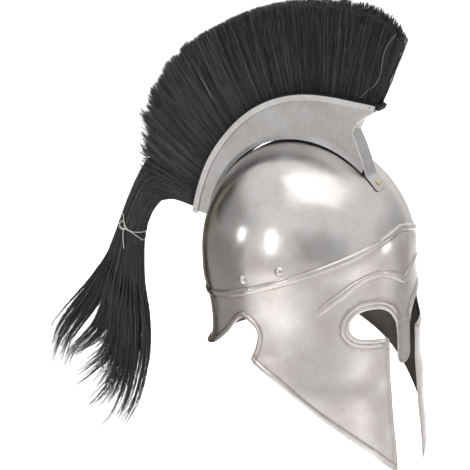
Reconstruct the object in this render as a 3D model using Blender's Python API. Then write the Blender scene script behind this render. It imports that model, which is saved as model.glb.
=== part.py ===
# Greek helmet in steel sheet with a crest box, an upright hair plume and a hanging tail of hair.
# Metres, +Z up. The helmet faces -Y and the wearer's right is -X.
# The origin is the inside of the bowl's crown, where the head touches it.

import math

import bmesh
import bpy
from mathutils import Matrix, Vector

# Steel bowl with cheek guards, neck guard and nose guard
BOWL_LENGTH = 0.234
BOWL_WIDTH = 0.194
DOME_HEIGHT = 0.121
HELMET_HEIGHT = 0.329
WALL = 0.0012
FRONT_SETBACK = 0.004

# Raised ridge round the bowl and the brow line over the eyes
RIDGE_FRONT_DROP = 0.076
RIDGE_REAR_DROP = 0.166
RIDGE_WIDTH = 0.0075
RIDGE_RAISE = 0.0018
BROW_DROP = 0.1175
BROW_WIDTH = 0.0080
BROW_RAISE = 0.0016
BROW_HALF_ANGLE = 56.0
ROW_CLEARANCE = 0.0015

# Face opening
NOSE_GUARD_WIDTH = 0.023
NOSE_GUARD_DROP = 0.2204
FACE_GAP = 0.0505
EYE_REACH = 0.066
EYE_TOP_DROP = 0.1523
EYE_BOTTOM_DROP = 0.185

# Rivet heads on the bowl
RIVET_RADIUS = 0.0045
RIVET_HEIGHT = 0.0020
RIVET_FRONT_ANGLE = 77.0
RIVET_REAR_ANGLE = 103.5
RIVET_OVER_RIDGE = 0.0130

# Crest box
CREST_HEIGHT = 0.072
CREST_WIDTH = 0.0165
CREST_SHEET = 0.0010
CREST_REAR_ANGLE = 170.0
RIM_OVERRUN_ANGLE = 1.2
FOOT_REACH = 0.0030
FOOT_RISE = 0.0045
FOOT_LIFT = 0.0012
RIM_DEPTH = 0.0065
RIM_FLOOR_DEPTH = 0.0042

# Strap down the front of the crest box, with its screw, and the nails in the rim
STRAP_WIDTH = 0.0145
STRAP_THICKNESS = 0.0012
STRAP_END_ANGLE = 43.5
SCREW_ANGLE = 47.5
SCREW_RADIUS = 0.0030
SCREW_HEIGHT = 0.0016
SCREW_SLOT = 0.0007
PIN_RADIUS = 0.0009
PIN_HEIGHT = 0.0006
PIN_FRONT_INSET_ANGLE = 1.6
PIN_REAR_INSET_ANGLE = 0.6

# Brush block and plume
BLOCK_WIDTH = 0.0130
BLOCK_RISE = 0.0016
BLOCK_OVERHANG = 0.0045
PLUME_HEIGHT = 0.158
PLUME_BASE_WIDTH = 0.0125
PLUME_TOP_WIDTH = 0.036
PLUME_LOCKS = 24

# Tail of hair and its string
TAIL_BACK = 0.326
TAIL_DROP = 0.367
TAIL_ROOT_LENGTH = 0.0165
TAIL_WIDTH = 0.024
TAIL_TIP_WIDTH = 0.0024
TIE_RADIUS = 0.0006
TIE_LOOSE_END = 0.026

# Clearance between pieces that touch
GAP = 0.0003

# Fineness of the facets
COLUMNS = 60
DOME_ROWS = 9
SKIRT_ROWS = 7
CREST_STATIONS = 24

HALF_LENGTH = BOWL_LENGTH / 2
HALF_WIDTH = BOWL_WIDTH / 2
PLATE_OUTSIDE = CREST_WIDTH / 2
CHANNEL_INSIDE = PLATE_OUTSIDE + GAP
CHANNEL_OUTSIDE = CHANNEL_INSIDE + CREST_SHEET

# Sections of the bowl below the dome. Columns: share of the height between the dome's foot and the
# cheek tips, front and rear reach as shares of half the length, half width as a share of half the
# width, and squareness of the front half (2 is an ellipse).
SKIRT = (
    (0.00, 1.000, 1.000, 1.000, 2.00),
    (0.13, 1.000, 0.985, 0.990, 2.20),
    (0.25, 1.003, 0.910, 0.980, 2.35),
    (0.38, 1.010, 0.872, 0.995, 2.40),
    (0.45, 1.013, 0.885, 1.020, 2.35),
    (0.51, 1.017, 0.945, 1.040, 2.30),
    (0.60, 1.030, 0.950, 1.050, 2.38),
    (0.75, 1.055, 0.950, 1.008, 2.40),
    (0.87, 1.084, 0.950, 0.975, 2.42),
    (1.05, 1.107, 0.950, 0.948, 2.45),
)

# Brow line. Columns: angle from the front, drop as a share of the brow drop.
BROW = (
    (0.0, 1.115),
    (9.0, 1.035),
    (16.0, 1.000),
    (24.0, 1.010),
    (33.0, 1.068),
    (43.0, 1.180),
    (60.0, 1.350),
    (120.0, 1.450),
    (180.0, 1.520),
)

# Lower edge seen from the side. Columns: distance ahead of the bowl's middle as a share of half the
# length, drop below the crown as a share of the helmet's height.
NECK_EDGE = (
    (-1.20, 0.700),
    (-0.90, 0.683),
    (-0.63, 0.648),
    (-0.41, 0.589),
    (-0.24, 0.525),
    (-0.15, 0.521),
    (-0.04, 0.550),
    (-0.04, 0.594),
    (-0.085, 0.642),
)
CHEEK_EDGE = (
    (-0.06, 0.654),
    (0.25, 0.717),
    (0.58, 0.810),
    (0.90, 0.919),
    (1.04, 0.998),
)

# Upper part of the eye opening, from its lower inner corner round the outside to the nose guard.
# Columns: share of the way from the cheek's front edge to the eye's reach, share of the way from the
# eye's top to its bottom.
EYE_EDGE = (
    (0.080, 1.05),
    (0.430, 1.00),
    (0.810, 0.92),
    (0.965, 0.75),
    (1.000, 0.53),
    (0.925, 0.24),
    (0.705, 0.04),
    (0.400, 0.02),
    (0.130, 0.11),
    (-0.100, 0.32),
    (-0.270, 0.62),
)

# Crest height over the bowl. Columns: angle from straight ahead, share of the crest height.
CREST_PROFILE = (
    (64.0, 1.000),
    (72.0, 0.862),
    (81.0, 0.768),
    (93.0, 0.688),
    (110.0, 0.574),
    (131.0, 0.432),
    (149.0, 0.360),
    (160.0, 0.330),
    (175.0, 0.326),
)

# Front end of the crest box. Columns: share of the crest height, angle from straight ahead.
CREST_FRONT = (
    (0.00, 55.5),
    (0.08, 56.5),
    (0.50, 67.3),
    (1.00, 64.2),
)

# Tips of the plume. Columns: share of the way from front to rear, angle from straight ahead, height
# over the bowl as a share of the plume height.
PLUME_EDGE = (
    (0.00, 65.5, 0.955),
    (0.08, 72.5, 1.020),
    (0.25, 89.0, 0.945),
    (0.50, 113.0, 0.850),
    (0.75, 135.0, 0.785),
    (0.90, 149.0, 0.690),
    (1.00, 156.5, 0.590),
)

# Sections of the tail down to where its locks part. Columns: outer side and inner side, each as a
# distance behind the bowl's middle (share of the tail's reach) and a drop below the crown (share of
# the tail's drop), and half thickness as a share of half the tail's width.
TAIL_SECTIONS = (
    (0.500, 0.177, 0.492, 0.256, 0.70),
    (0.572, 0.130, 0.545, 0.258, 0.85),
    (0.628, 0.132, 0.585, 0.290, 0.92),
    (0.680, 0.215, 0.617, 0.335, 0.95),
    (0.712, 0.330, 0.628, 0.368, 0.90),
    (0.728, 0.385, 0.634, 0.430, 0.95),
    (0.760, 0.448, 0.632, 0.520, 1.00),
    (0.810, 0.520, 0.622, 0.610, 1.00),
    (0.880, 0.600, 0.618, 0.690, 0.95),
)
TIE_SECTION = 4

# Locks of the tail below that, from the outer side in. Columns: a bend point and the tip, each as
# reach and drop shares, and the number of rows that the lock stays joined to the next one inward.
TAIL_LOCKS = (
    (1.000, 0.700, 0.985, 0.875, 3),
    (0.960, 0.760, 0.962, 0.930, 0),
    (0.880, 0.830, 0.930, 0.965, 2),
    (0.800, 0.830, 0.870, 0.960, 2),
    (0.730, 0.850, 0.830, 0.985, 2),
    (0.670, 0.870, 0.775, 0.975, 1),
    (0.615, 0.860, 0.765, 1.000, 0),
)
LOCK_ROWS = 7


def clear_scene():
    for thing in list(bpy.data.objects):
        bpy.data.objects.remove(thing, do_unlink=True)


def material(name, colour, metallic, roughness):
    made = bpy.data.materials.new(name)
    made.use_nodes = True
    shader = made.node_tree.nodes["Principled BSDF"]
    shader.inputs["Base Color"].default_value = (*colour, 1.0)
    shader.inputs["Metallic"].default_value = metallic
    shader.inputs["Roughness"].default_value = roughness
    return made


def table_value(table, column, key):
    """Smooth value of one column of a table at a key in its first column."""
    if key <= table[0][0]:
        return table[0][column]
    if key >= table[-1][0]:
        return table[-1][column]
    index = max(i for i, row in enumerate(table) if row[0] <= key)
    here, after = table[index], table[index + 1]
    before = table[max(index - 1, 0)]
    beyond = table[min(index + 2, len(table) - 1)]
    span = after[0] - here[0]
    slope_here = (after[column] - before[column]) / (after[0] - before[0])
    slope_after = (beyond[column] - here[column]) / (beyond[0] - here[0])
    t = (key - here[0]) / span
    return (
        (2 * t ** 3 - 3 * t ** 2 + 1) * here[column]
        + (t ** 3 - 2 * t ** 2 + t) * span * slope_here
        + (3 * t ** 2 - 2 * t ** 3) * after[column]
        + (t ** 3 - t ** 2) * span * slope_after
    )


def smooth_line(points, steps):
    """Points along a smooth curve through the given points."""
    line = []
    for i in range(len(points) - 1):
        a = points[max(i - 1, 0)]
        b = points[i]
        c = points[i + 1]
        d = points[min(i + 2, len(points) - 1)]
        for k in range(steps):
            t = k / steps
            line.append(tuple(
                0.5 * (
                    2 * b[n]
                    + (c[n] - a[n]) * t
                    + (2 * a[n] - 5 * b[n] + 4 * c[n] - d[n]) * t * t
                    + (3 * b[n] - a[n] - 3 * c[n] + d[n]) * t ** 3
                )
                for n in range(len(b))
            ))
    line.append(tuple(points[-1]))
    return line


def place(ahead, right, drop):
    """Point in the part's frame, from the distance ahead, to the wearer's right and below the crown."""
    return Vector((-right, -ahead, WALL - drop))


def ridge_drop(angle):
    turn = math.sin(math.radians(abs(angle)) / 2) ** 1.25
    return RIDGE_FRONT_DROP + (RIDGE_REAR_DROP - RIDGE_FRONT_DROP) * turn


def brow_drop(angle):
    return BROW_DROP * table_value(BROW, 1, abs(angle))


def section(drop):
    """Front reach, rear reach, half width and squareness of the bowl at a drop below its crown."""
    if drop < DOME_HEIGHT:
        share = math.sqrt(max(0.0, 1 - (1 - drop / DOME_HEIGHT) ** 2))
        return HALF_LENGTH * share, HALF_LENGTH * share, HALF_WIDTH * share, 2.0
    share = (drop - DOME_HEIGHT) / (HELMET_HEIGHT - DOME_HEIGHT)
    front = HALF_LENGTH * table_value(SKIRT, 1, share)
    rear = HALF_LENGTH * table_value(SKIRT, 2, share)
    width = HALF_WIDTH * table_value(SKIRT, 3, share)
    return front, rear, width, table_value(SKIRT, 4, share)


def ease(value):
    value = min(1.0, max(0.0, value))
    return value * value * (3 - 2 * value)


def bowl_point(angle, drop, raised=0.0):
    """Point of the bowl's outside. The angle is in degrees from the front, plus to the right."""
    front, rear, width, squareness = section(drop)
    c = math.cos(math.radians(angle))
    s = math.sin(math.radians(angle))
    reach = front if c >= 0 else rear
    power = squareness if c >= 0 else 2.0
    if reach <= 0:
        return place(0, 0, drop)
    radius = (abs(c / reach) ** power + abs(s / width) ** power) ** (-1 / power)
    if c > 0:
        radius -= FRONT_SETBACK * c * c * ease((drop - ridge_drop(angle)) / (10 * FRONT_SETBACK))
    radius += raised
    return place(radius * c, radius * s, drop)


def profile_turn(drop):
    """Turn along the dome's profile: a right angle at its foot, and on in proportion below it."""
    if drop < DOME_HEIGHT:
        return math.acos(1 - drop / DOME_HEIGHT)
    return math.pi / 2 + (drop - DOME_HEIGHT) / DOME_HEIGHT


def turn_drop(turn):
    if turn < math.pi / 2:
        return DOME_HEIGHT * (1 - math.cos(turn))
    return DOME_HEIGHT * (1 + turn - math.pi / 2)


def bowl_rows(angle):
    """Drops and raised heights of the rows of the bowl's grid at one angle."""
    ridge = ridge_drop(angle)
    brow = brow_drop(angle)
    fade = ease((BROW_HALF_ANGLE - abs(angle)) / 8.0)
    last_turn = profile_turn(ridge - RIDGE_WIDTH / 2)
    rows = [(turn_drop(last_turn * k / DOME_ROWS), 0.0) for k in range(1, DOME_ROWS + 1)]
    rows += [(ridge - RIDGE_WIDTH / 5, RIDGE_RAISE), (ridge + RIDGE_WIDTH / 5, RIDGE_RAISE)]
    ridge_foot = ridge + RIDGE_WIDTH / 2
    brow = max(brow, ridge_foot + BROW_WIDTH / 2 + 2 * ROW_CLEARANCE)
    brow_head = brow - BROW_WIDTH / 2
    rows += [(ridge_foot, 0.0), ((ridge_foot + brow_head) / 2, 0.0), (brow_head, 0.0)]
    rows += [(brow - BROW_WIDTH / 5, BROW_RAISE * fade), (brow + BROW_WIDTH / 5, BROW_RAISE * fade)]
    brow_foot = brow + BROW_WIDTH / 2
    bottom = max(HELMET_HEIGHT * 1.03, brow_foot + SKIRT_ROWS * ROW_CLEARANCE)
    rows += [(brow_foot + (bottom - brow_foot) * k / SKIRT_ROWS, 0.0) for k in range(SKIRT_ROWS + 1)]
    return rows


def new_object(name, mesh_data, finish, flat_angle=35.0):
    mesh_data.materials.append(finish)
    made = bpy.data.objects.new(name, mesh_data)
    bpy.context.scene.collection.objects.link(made)
    mesh_data.shade_smooth()
    mesh_data.set_sharp_from_angle(angle=math.radians(flat_angle))
    return made


def mesh_from(name, points, faces):
    made = bpy.data.meshes.new(name)
    made.from_pydata([tuple(p) for p in points], [], faces)
    shape = bmesh.new()
    shape.from_mesh(made)
    bmesh.ops.remove_doubles(shape, verts=shape.verts, dist=0.000001)
    bmesh.ops.recalc_face_normals(shape, faces=shape.faces)
    shape.to_mesh(made)
    shape.free()
    return made


def loft(name, loops, closed_across=True):
    """Skin through loops of points with equal counts, its two ends closed by flat faces."""
    count = len(loops[0])
    points = [p for loop in loops for p in loop]
    faces = []
    for row in range(len(loops) - 1):
        for k in range(count if closed_across else count - 1):
            a = row * count + k
            b = row * count + (k + 1) % count
            faces.append((a, b, b + count, a + count))
    if closed_across:
        faces.append(tuple(range(count)))
        start = (len(loops) - 1) * count
        faces.append(tuple(start + k for k in range(count)))
    return mesh_from(name, points, faces)


def cutter(name, outline, along, low, high):
    """Closed prism for a Boolean: an outline of (sideways, height) pairs drawn out along an axis."""
    loops = []
    for depth in (low, high):
        if along == "X":
            loops.append([Vector((depth, a, z)) for a, z in outline])
        else:
            loops.append([Vector((a, depth, z)) for a, z in outline])
    made = bpy.data.objects.new(name, loft(name, loops))
    bpy.context.scene.collection.objects.link(made)
    made.hide_render = True
    made.display_type = "WIRE"
    return made


def cut(body, tool):
    step = body.modifiers.new(tool.name, "BOOLEAN")
    step.operation = "DIFFERENCE"
    step.solver = "EXACT"
    step.object = tool


def side_cutter():
    """All that lies below the neck guard, the ear cut-out and the cheek guards."""
    line = smooth_line(NECK_EDGE, 4)
    line += smooth_line(CHEEK_EDGE, 2)
    outline = [(-ahead * HALF_LENGTH, WALL - drop * HELMET_HEIGHT) for ahead, drop in line]
    low = WALL - 1.2 * HELMET_HEIGHT
    outline += [(-1.3 * HALF_LENGTH, low), (1.3 * HALF_LENGTH, low)]
    return cutter("cut_side", outline, "X", -BOWL_WIDTH, BOWL_WIDTH)


def face_outline():
    """Right half of the face opening as (right, drop) pairs, from the chin to the nose guard's tip."""
    gap = FACE_GAP / 2
    nose = NOSE_GUARD_WIDTH / 2
    eye_height = EYE_BOTTOM_DROP - EYE_TOP_DROP
    half = [(gap, 1.2 * HELMET_HEIGHT), (gap, EYE_BOTTOM_DROP + 0.6 * eye_height)]
    eye = [
        (gap + across * (EYE_REACH - gap), EYE_TOP_DROP + down * eye_height)
        for across, down in EYE_EDGE
    ]
    half += smooth_line(eye, 3)
    tip_height = NOSE_GUARD_WIDTH * 0.45
    tip = NOSE_GUARD_DROP - tip_height
    half += [(nose, EYE_BOTTOM_DROP), (nose, tip)]
    for step in range(1, 5):
        turn = math.radians(90.0 * step / 4)
        half.append((nose * math.cos(turn), tip + tip_height * math.sin(turn)))
    return half


def face_cutter():
    """Eyes and the gap between the cheek guards, round the nose guard."""
    half = face_outline()
    other = [(-right, drop) for right, drop in reversed(half[:-1])]
    outline = [(-right, WALL - drop) for right, drop in half + other]
    return cutter("cut_face", outline, "Y", -1.4 * HALF_LENGTH, -0.45 * HALF_LENGTH)


def build_shell(finish):
    loops = []
    for row in range(len(bowl_rows(0.0))):
        loop = []
        for k in range(COLUMNS):
            angle = 360.0 * k / COLUMNS
            angle = angle - 360.0 if angle > 180.0 else angle
            drop, raised = bowl_rows(angle)[row]
            loop.append(bowl_point(angle, drop, raised))
        loops.append(loop)
    points = [p for loop in loops for p in loop]
    faces = []
    for row in range(len(loops) - 1):
        for k in range(COLUMNS):
            a = row * COLUMNS + k
            b = row * COLUMNS + (k + 1) % COLUMNS
            faces.append((a, b, b + COLUMNS, a + COLUMNS))
    crown = len(points)
    points.append(place(0, 0, 0))
    faces += [(k, (k + 1) % COLUMNS, crown) for k in range(COLUMNS)]
    sheet = mesh_from("helmet_shell", points, faces)
    if sum(face.normal.dot(face.center) for face in sheet.polygons) < 0:
        sheet.flip_normals()
    body = new_object("helmet_shell", sheet, finish)
    solid = body.modifiers.new("wall", "SOLIDIFY")
    solid.thickness = WALL
    solid.offset = -1.0
    solid.use_even_offset = True
    cut(body, side_cutter())
    cut(body, face_cutter())
    return body


def build_rivet(name, angle, side, finish):
    drop = ridge_drop(angle) - RIVET_OVER_RIDGE
    centre = bowl_point(side * angle, drop)
    down = bowl_point(side * angle, drop + RIVET_RADIUS) - centre
    round_about = bowl_point(side * angle + 2.0, drop) - centre
    out = down.cross(round_about).normalized()
    if out.dot(centre - place(0, 0, drop)) < 0:
        out.negate()
    seat = RIVET_RADIUS ** 2 / BOWL_WIDTH + 2 * GAP
    turn = out.to_track_quat("Z", "Y").to_matrix()
    loops = []
    for radius, height in ((1.0, 0.0), (0.93, 0.4), (0.70, 0.78), (0.38, 0.96)):
        loops.append([
            centre + out * seat + turn @ Vector((
                radius * RIVET_RADIUS * math.cos(math.radians(30.0 * k)),
                radius * RIVET_RADIUS * math.sin(math.radians(30.0 * k)),
                height * RIVET_HEIGHT,
            ))
            for k in range(12)
        ])
    return new_object(name, loft(name, loops), finish)


def dome_radius(angle, right=0.0):
    """Distance from the middle of the dome's foot to the bowl, in a plane beside the mid-plane."""
    turn = math.radians(angle)
    inside = math.sqrt(1 - (right / HALF_WIDTH) ** 2)
    return inside / math.hypot(math.cos(turn) / HALF_LENGTH, math.sin(turn) / DOME_HEIGHT)


def crest_point(angle, height, right):
    """Point over the bowl: an angle up from straight ahead and a height over the mid-plane profile."""
    radius = dome_radius(angle) + height
    turn = math.radians(angle)
    return place(radius * math.cos(turn), right, DOME_HEIGHT - radius * math.sin(turn))


def crest_height(angle):
    return CREST_HEIGHT * table_value(CREST_PROFILE, 1, angle)


def front_angle(share):
    return table_value(CREST_FRONT, 1, share)


def plate_rows(share):
    """Angle, height and distance from the mid-plane of each row of a side plate, front to rear."""
    rows = []
    inside = PLATE_OUTSIDE - CREST_SHEET
    foot = inside + FOOT_REACH
    lift = 2 * GAP + FOOT_LIFT * math.sin(math.pi * share)
    angle = front_angle(0.0) + (CREST_REAR_ANGLE - front_angle(0.0)) * share
    sunk = dome_radius(angle) - dome_radius(angle, foot + CREST_SHEET)
    rows.append((angle, lift - sunk + CREST_SHEET / 2, foot))
    angle = front_angle(0.08) + (CREST_REAR_ANGLE - front_angle(0.08)) * share
    rows.append((angle, lift + FOOT_RISE, inside))
    angle = front_angle(0.5) + (CREST_REAR_ANGLE - front_angle(0.5)) * share
    middle = (crest_height(angle) - RIM_FLOOR_DEPTH) * 0.5
    rows.append((angle, max(middle, lift + 1.2 * FOOT_RISE), inside))
    angle = front_angle(1.0) + (CREST_REAR_ANGLE - front_angle(1.0)) * share
    rows.append((angle, crest_height(angle) - RIM_FLOOR_DEPTH - CREST_SHEET - GAP, inside))
    return rows


def build_plate(name, side, finish):
    """One side plate: flat above, its foot flared out over the bowl."""
    points = []
    for k in range(CREST_STATIONS + 1):
        for angle, height, right in plate_rows(k / CREST_STATIONS):
            points.append(crest_point(angle, height, side * right))
    faces = []
    for k in range(CREST_STATIONS):
        for row in range(3):
            a = 4 * k + row
            faces.append((a, a + 1, a + 5, a + 4))
    sheet = mesh_from(name, points, faces)
    outward = sum(face.normal.x * face.area for face in sheet.polygons)
    if outward * -side < 0:
        sheet.flip_normals()
    body = new_object(name, sheet, finish)
    solid = body.modifiers.new("sheet", "SOLIDIFY")
    solid.thickness = CREST_SHEET
    solid.offset = 1.0
    solid.use_even_offset = True
    return body


def rim_angles():
    """Angles of the rim's stations, which the brush block shares so that the two nest."""
    start = front_angle(1.0)
    span = CREST_REAR_ANGLE + RIM_OVERRUN_ANGLE - start
    return [start + span * k / CREST_STATIONS for k in range(CREST_STATIONS + 1)]


def build_channel(finish):
    """The U-shaped rim along the top of the box: two lips down the plates and a floor between them."""
    outside, inside = CHANNEL_OUTSIDE, CHANNEL_INSIDE
    floor = -RIM_FLOOR_DEPTH
    profile = (
        (outside, -RIM_DEPTH), (outside, 0.0), (inside, 0.0), (inside, floor),
        (-inside, floor), (-inside, 0.0), (-outside, 0.0), (-outside, -RIM_DEPTH),
        (-inside, -RIM_DEPTH), (-inside, floor - CREST_SHEET),
        (inside, floor - CREST_SHEET), (inside, -RIM_DEPTH),
    )
    loops = []
    for angle in rim_angles():
        height = crest_height(angle)
        loops.append([crest_point(angle, height + rise, right) for right, rise in profile])
    return new_object("crest_channel", loft("crest_channel", loops), finish)


def strap_line():
    """Mid-plane line of the strap as ahead and drop pairs, from the rim's tip down onto the bowl."""
    clear = STRAP_THICKNESS / 2 + GAP
    under_block = 1 - (RIM_FLOOR_DEPTH + CREST_SHEET + 2 * STRAP_THICKNESS) / CREST_HEIGHT
    line = []
    for share in (under_block, 0.5, 0.06):
        point = crest_point(front_angle(share), CREST_HEIGHT * share, 0.0)
        line.append((-point.y + CREST_SHEET + 2 * clear, WALL - point.z))
    for k in range(4):
        angle = front_angle(0.0) - 3.0 + (STRAP_END_ANGLE + 3.0 - front_angle(0.0)) * k / 3
        point = crest_point(angle, STRAP_THICKNESS / 2 + 2 * GAP, 0.0)
        line.append((-point.y, WALL - point.z))
    return line


def build_strap(finish):
    line = strap_line()
    half = STRAP_WIDTH / 2
    loops = []
    for k, (ahead, drop) in enumerate(line):
        before = line[max(k - 1, 0)]
        after = line[min(k + 1, len(line) - 1)]
        along = Vector((after[0] - before[0], after[1] - before[1])).normalized()
        first = Vector((ahead - before[0], drop - before[1]))
        last = Vector((after[0] - ahead, after[1] - drop))
        bend = 1.0
        if first.length and last.length:
            bend = math.cos(first.angle(last) / 2)
        out = Vector((along.y, -along.x)) * STRAP_THICKNESS / 2 / bend
        width = half * (0.86 if k < 3 else 1.0)
        loops.append([
            place(ahead + out.x, width, drop + out.y),
            place(ahead + out.x, -width, drop + out.y),
            place(ahead - out.x, -width, drop - out.y),
            place(ahead - out.x, width, drop - out.y),
        ])
    return new_object("crest_strap", loft("crest_strap", loops), finish)


def build_screw(finish):
    seat = crest_point(SCREW_ANGLE, STRAP_THICKNESS + 3 * GAP, 0.0)
    beyond = crest_point(SCREW_ANGLE, 2 * STRAP_THICKNESS + 3 * GAP, 0.0)
    out = (beyond - seat).normalized()
    turn = out.to_track_quat("Z", "Y").to_matrix()
    loops = []
    for radius, height in ((1.0, 0.0), (1.0, 0.45), (0.75, 1.0)):
        loops.append([
            seat + turn @ Vector((
                radius * SCREW_RADIUS * math.cos(math.radians(22.5 * k)),
                radius * SCREW_RADIUS * math.sin(math.radians(22.5 * k)),
                height * SCREW_HEIGHT,
            ))
            for k in range(16)
        ])
    body = new_object("strap_screw", loft("strap_screw", loops), finish)
    slot = bmesh.new()
    bmesh.ops.create_cube(slot, size=1.0)
    size = Matrix.Diagonal((3 * SCREW_RADIUS, SCREW_SLOT, SCREW_HEIGHT, 1.0))
    bmesh.ops.transform(slot, matrix=size, verts=slot.verts)
    raised = Matrix.Translation(seat + out * SCREW_HEIGHT) @ turn.to_4x4()
    bmesh.ops.transform(slot, matrix=raised, verts=slot.verts)
    data = bpy.data.meshes.new("cut_slot")
    slot.to_mesh(data)
    slot.free()
    tool = bpy.data.objects.new("cut_slot", data)
    bpy.context.scene.collection.objects.link(tool)
    tool.hide_render = True
    tool.display_type = "WIRE"
    cut(body, tool)
    return body


def build_pin(name, angle, side, finish):
    """Flat nail head on the outside of the rim."""
    outside = CHANNEL_OUTSIDE + GAP
    loops = []
    for depth in (outside, outside + PIN_HEIGHT):
        centre = crest_point(angle, crest_height(angle) - RIM_DEPTH / 2, side * depth)
        loops.append([
            centre + Vector((
                0.0,
                PIN_RADIUS * math.cos(math.radians(45.0 * k)),
                PIN_RADIUS * math.sin(math.radians(45.0 * k)),
            ))
            for k in range(8)
        ])
    return new_object(name, loft(name, loops), finish)


def block_height(angle):
    return crest_height(angle) + BLOCK_RISE


def build_block(finish):
    """Strip that the hair grows from: it fills the channel and stands a little over its lips."""
    half = BLOCK_WIDTH / 2
    overhang = math.degrees(BLOCK_OVERHANG / (dome_radius(64.0) + CREST_HEIGHT))
    angles = rim_angles()
    angles.insert(0, angles[0] - overhang)
    loops = []
    for angle in angles:
        low = crest_height(angle) - RIM_FLOOR_DEPTH + GAP
        high = block_height(angle)
        loops.append([
            crest_point(angle, low, half), crest_point(angle, high, half),
            crest_point(angle, high, -half), crest_point(angle, low, -half),
        ])
    return new_object("brush_block", loft("brush_block", loops), finish)


def lock_sheet(name, locks, joined, finish):
    """One body from side-by-side locks of hair.

    Each lock is a list of rows, and each row is (left, right, half thickness at the left, middle
    and right), with left and right as (ahead, drop) pairs. joined[i] is the last row in which lock
    i is still joined to the next one.
    """
    points = []
    places = {}

    def spot(lock, part, row, side):
        left, right, thick = locks[lock][row]
        if part == 3 and lock + 1 < len(locks) and row <= joined[lock]:
            lock, part = lock + 1, 0
            left, right, thick = locks[lock][row]
        key = (lock, part, row, side)
        if key in places:
            return places[key]
        ahead = left[0] + (right[0] - left[0]) * part / 3
        drop = left[1] + (right[1] - left[1]) * part / 3
        half = thick[part]
        if part == 0 and lock > 0 and row <= joined[lock - 1]:
            other = locks[lock - 1][row]
            ahead = (left[0] + other[1][0]) / 2
            drop = (left[1] + other[1][1]) / 2
            half = min(half, other[2][3])
        places[key] = len(points)
        points.append(place(ahead, side * half, drop))
        return places[key]

    faces = []
    for lock, rows in enumerate(locks):
        last = len(rows) - 1
        for row in range(last):
            for part in range(3):
                for side in (1, -1):
                    faces.append(tuple(
                        spot(lock, p, r, side)
                        for p, r in ((part, row), (part + 1, row), (part + 1, row + 1), (part, row + 1))
                    ))
            if lock == 0 or row >= joined[lock - 1]:
                faces.append((
                    spot(lock, 0, row, 1), spot(lock, 0, row, -1),
                    spot(lock, 0, row + 1, -1), spot(lock, 0, row + 1, 1),
                ))
            if lock == len(locks) - 1 or row >= joined[lock]:
                faces.append((
                    spot(lock, 3, row, 1), spot(lock, 3, row, -1),
                    spot(lock, 3, row + 1, -1), spot(lock, 3, row + 1, 1),
                ))
        for row in (0, last):
            for part in range(3):
                faces.append((
                    spot(lock, part, row, 1), spot(lock, part + 1, row, 1),
                    spot(lock, part + 1, row, -1), spot(lock, part, row, -1),
                ))
    return new_object(name, mesh_from(name, points, faces), finish, 60.0)


def polar(angle, height):
    point = crest_point(angle, height, 0.0)
    return (-point.y, WALL - point.z)


def plume_rear_angle():
    """Angle at which the upright hair ends and the tail's root begins."""
    radius = dome_radius(CREST_REAR_ANGLE) + block_height(CREST_REAR_ANGLE)
    return CREST_REAR_ANGLE - math.degrees(TAIL_ROOT_LENGTH / radius)


def build_plume(finish):
    """Fan of locks from the brush block, thin at its root and wide at its tips."""
    levels = (0.0, 0.16, 0.4, 0.66, 0.88, 0.95, 1.0)
    joined_row = 4
    start = front_angle(1.0)
    rear = plume_rear_angle()
    locks = []
    for i in range(PLUME_LOCKS):
        rows = []
        length = 1.0 + 0.018 * math.sin(5.1 * i) + 0.012 * math.sin(2.3 * i + 1.0)
        for row, level in enumerate(levels):
            ends = []
            narrow = max(0, row - joined_row) * 0.17
            for edge in (i + narrow, i + 1 - narrow):
                share = edge / PLUME_LOCKS
                root = start + (rear - start) * share
                root_height = block_height(root) + GAP
                tip = table_value(PLUME_EDGE, 1, share)
                tip_height = PLUME_HEIGHT * table_value(PLUME_EDGE, 2, share) * length
                angle = root + (tip - root) * level
                ends.append(polar(angle, root_height + (tip_height - root_height) * level))
            half = (PLUME_BASE_WIDTH + (PLUME_TOP_WIDTH - PLUME_BASE_WIDTH) * level ** 0.8) / 2
            edge_share = min(i, PLUME_LOCKS - 1 - i) / 3
            half *= min(1.0, 0.55 + 0.45 * edge_share + (1.0 - level) * 0.45)
            if row > joined_row:
                half *= 1.0 - 0.16 * (row - joined_row)
            valley = half * (1.0 if row == 0 else 0.88)
            rows.append((ends[0], ends[1], (valley, half, half, valley)))
        locks.append(rows)
    joined = [joined_row] * PLUME_LOCKS
    return lock_sheet("plume", locks, joined, finish)


def tail_point(reach, drop):
    return (-reach * TAIL_BACK, drop * TAIL_DROP)


def mix(a, b, share):
    return (a[0] + (b[0] - a[0]) * share, a[1] + (b[1] - a[1]) * share)


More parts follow.
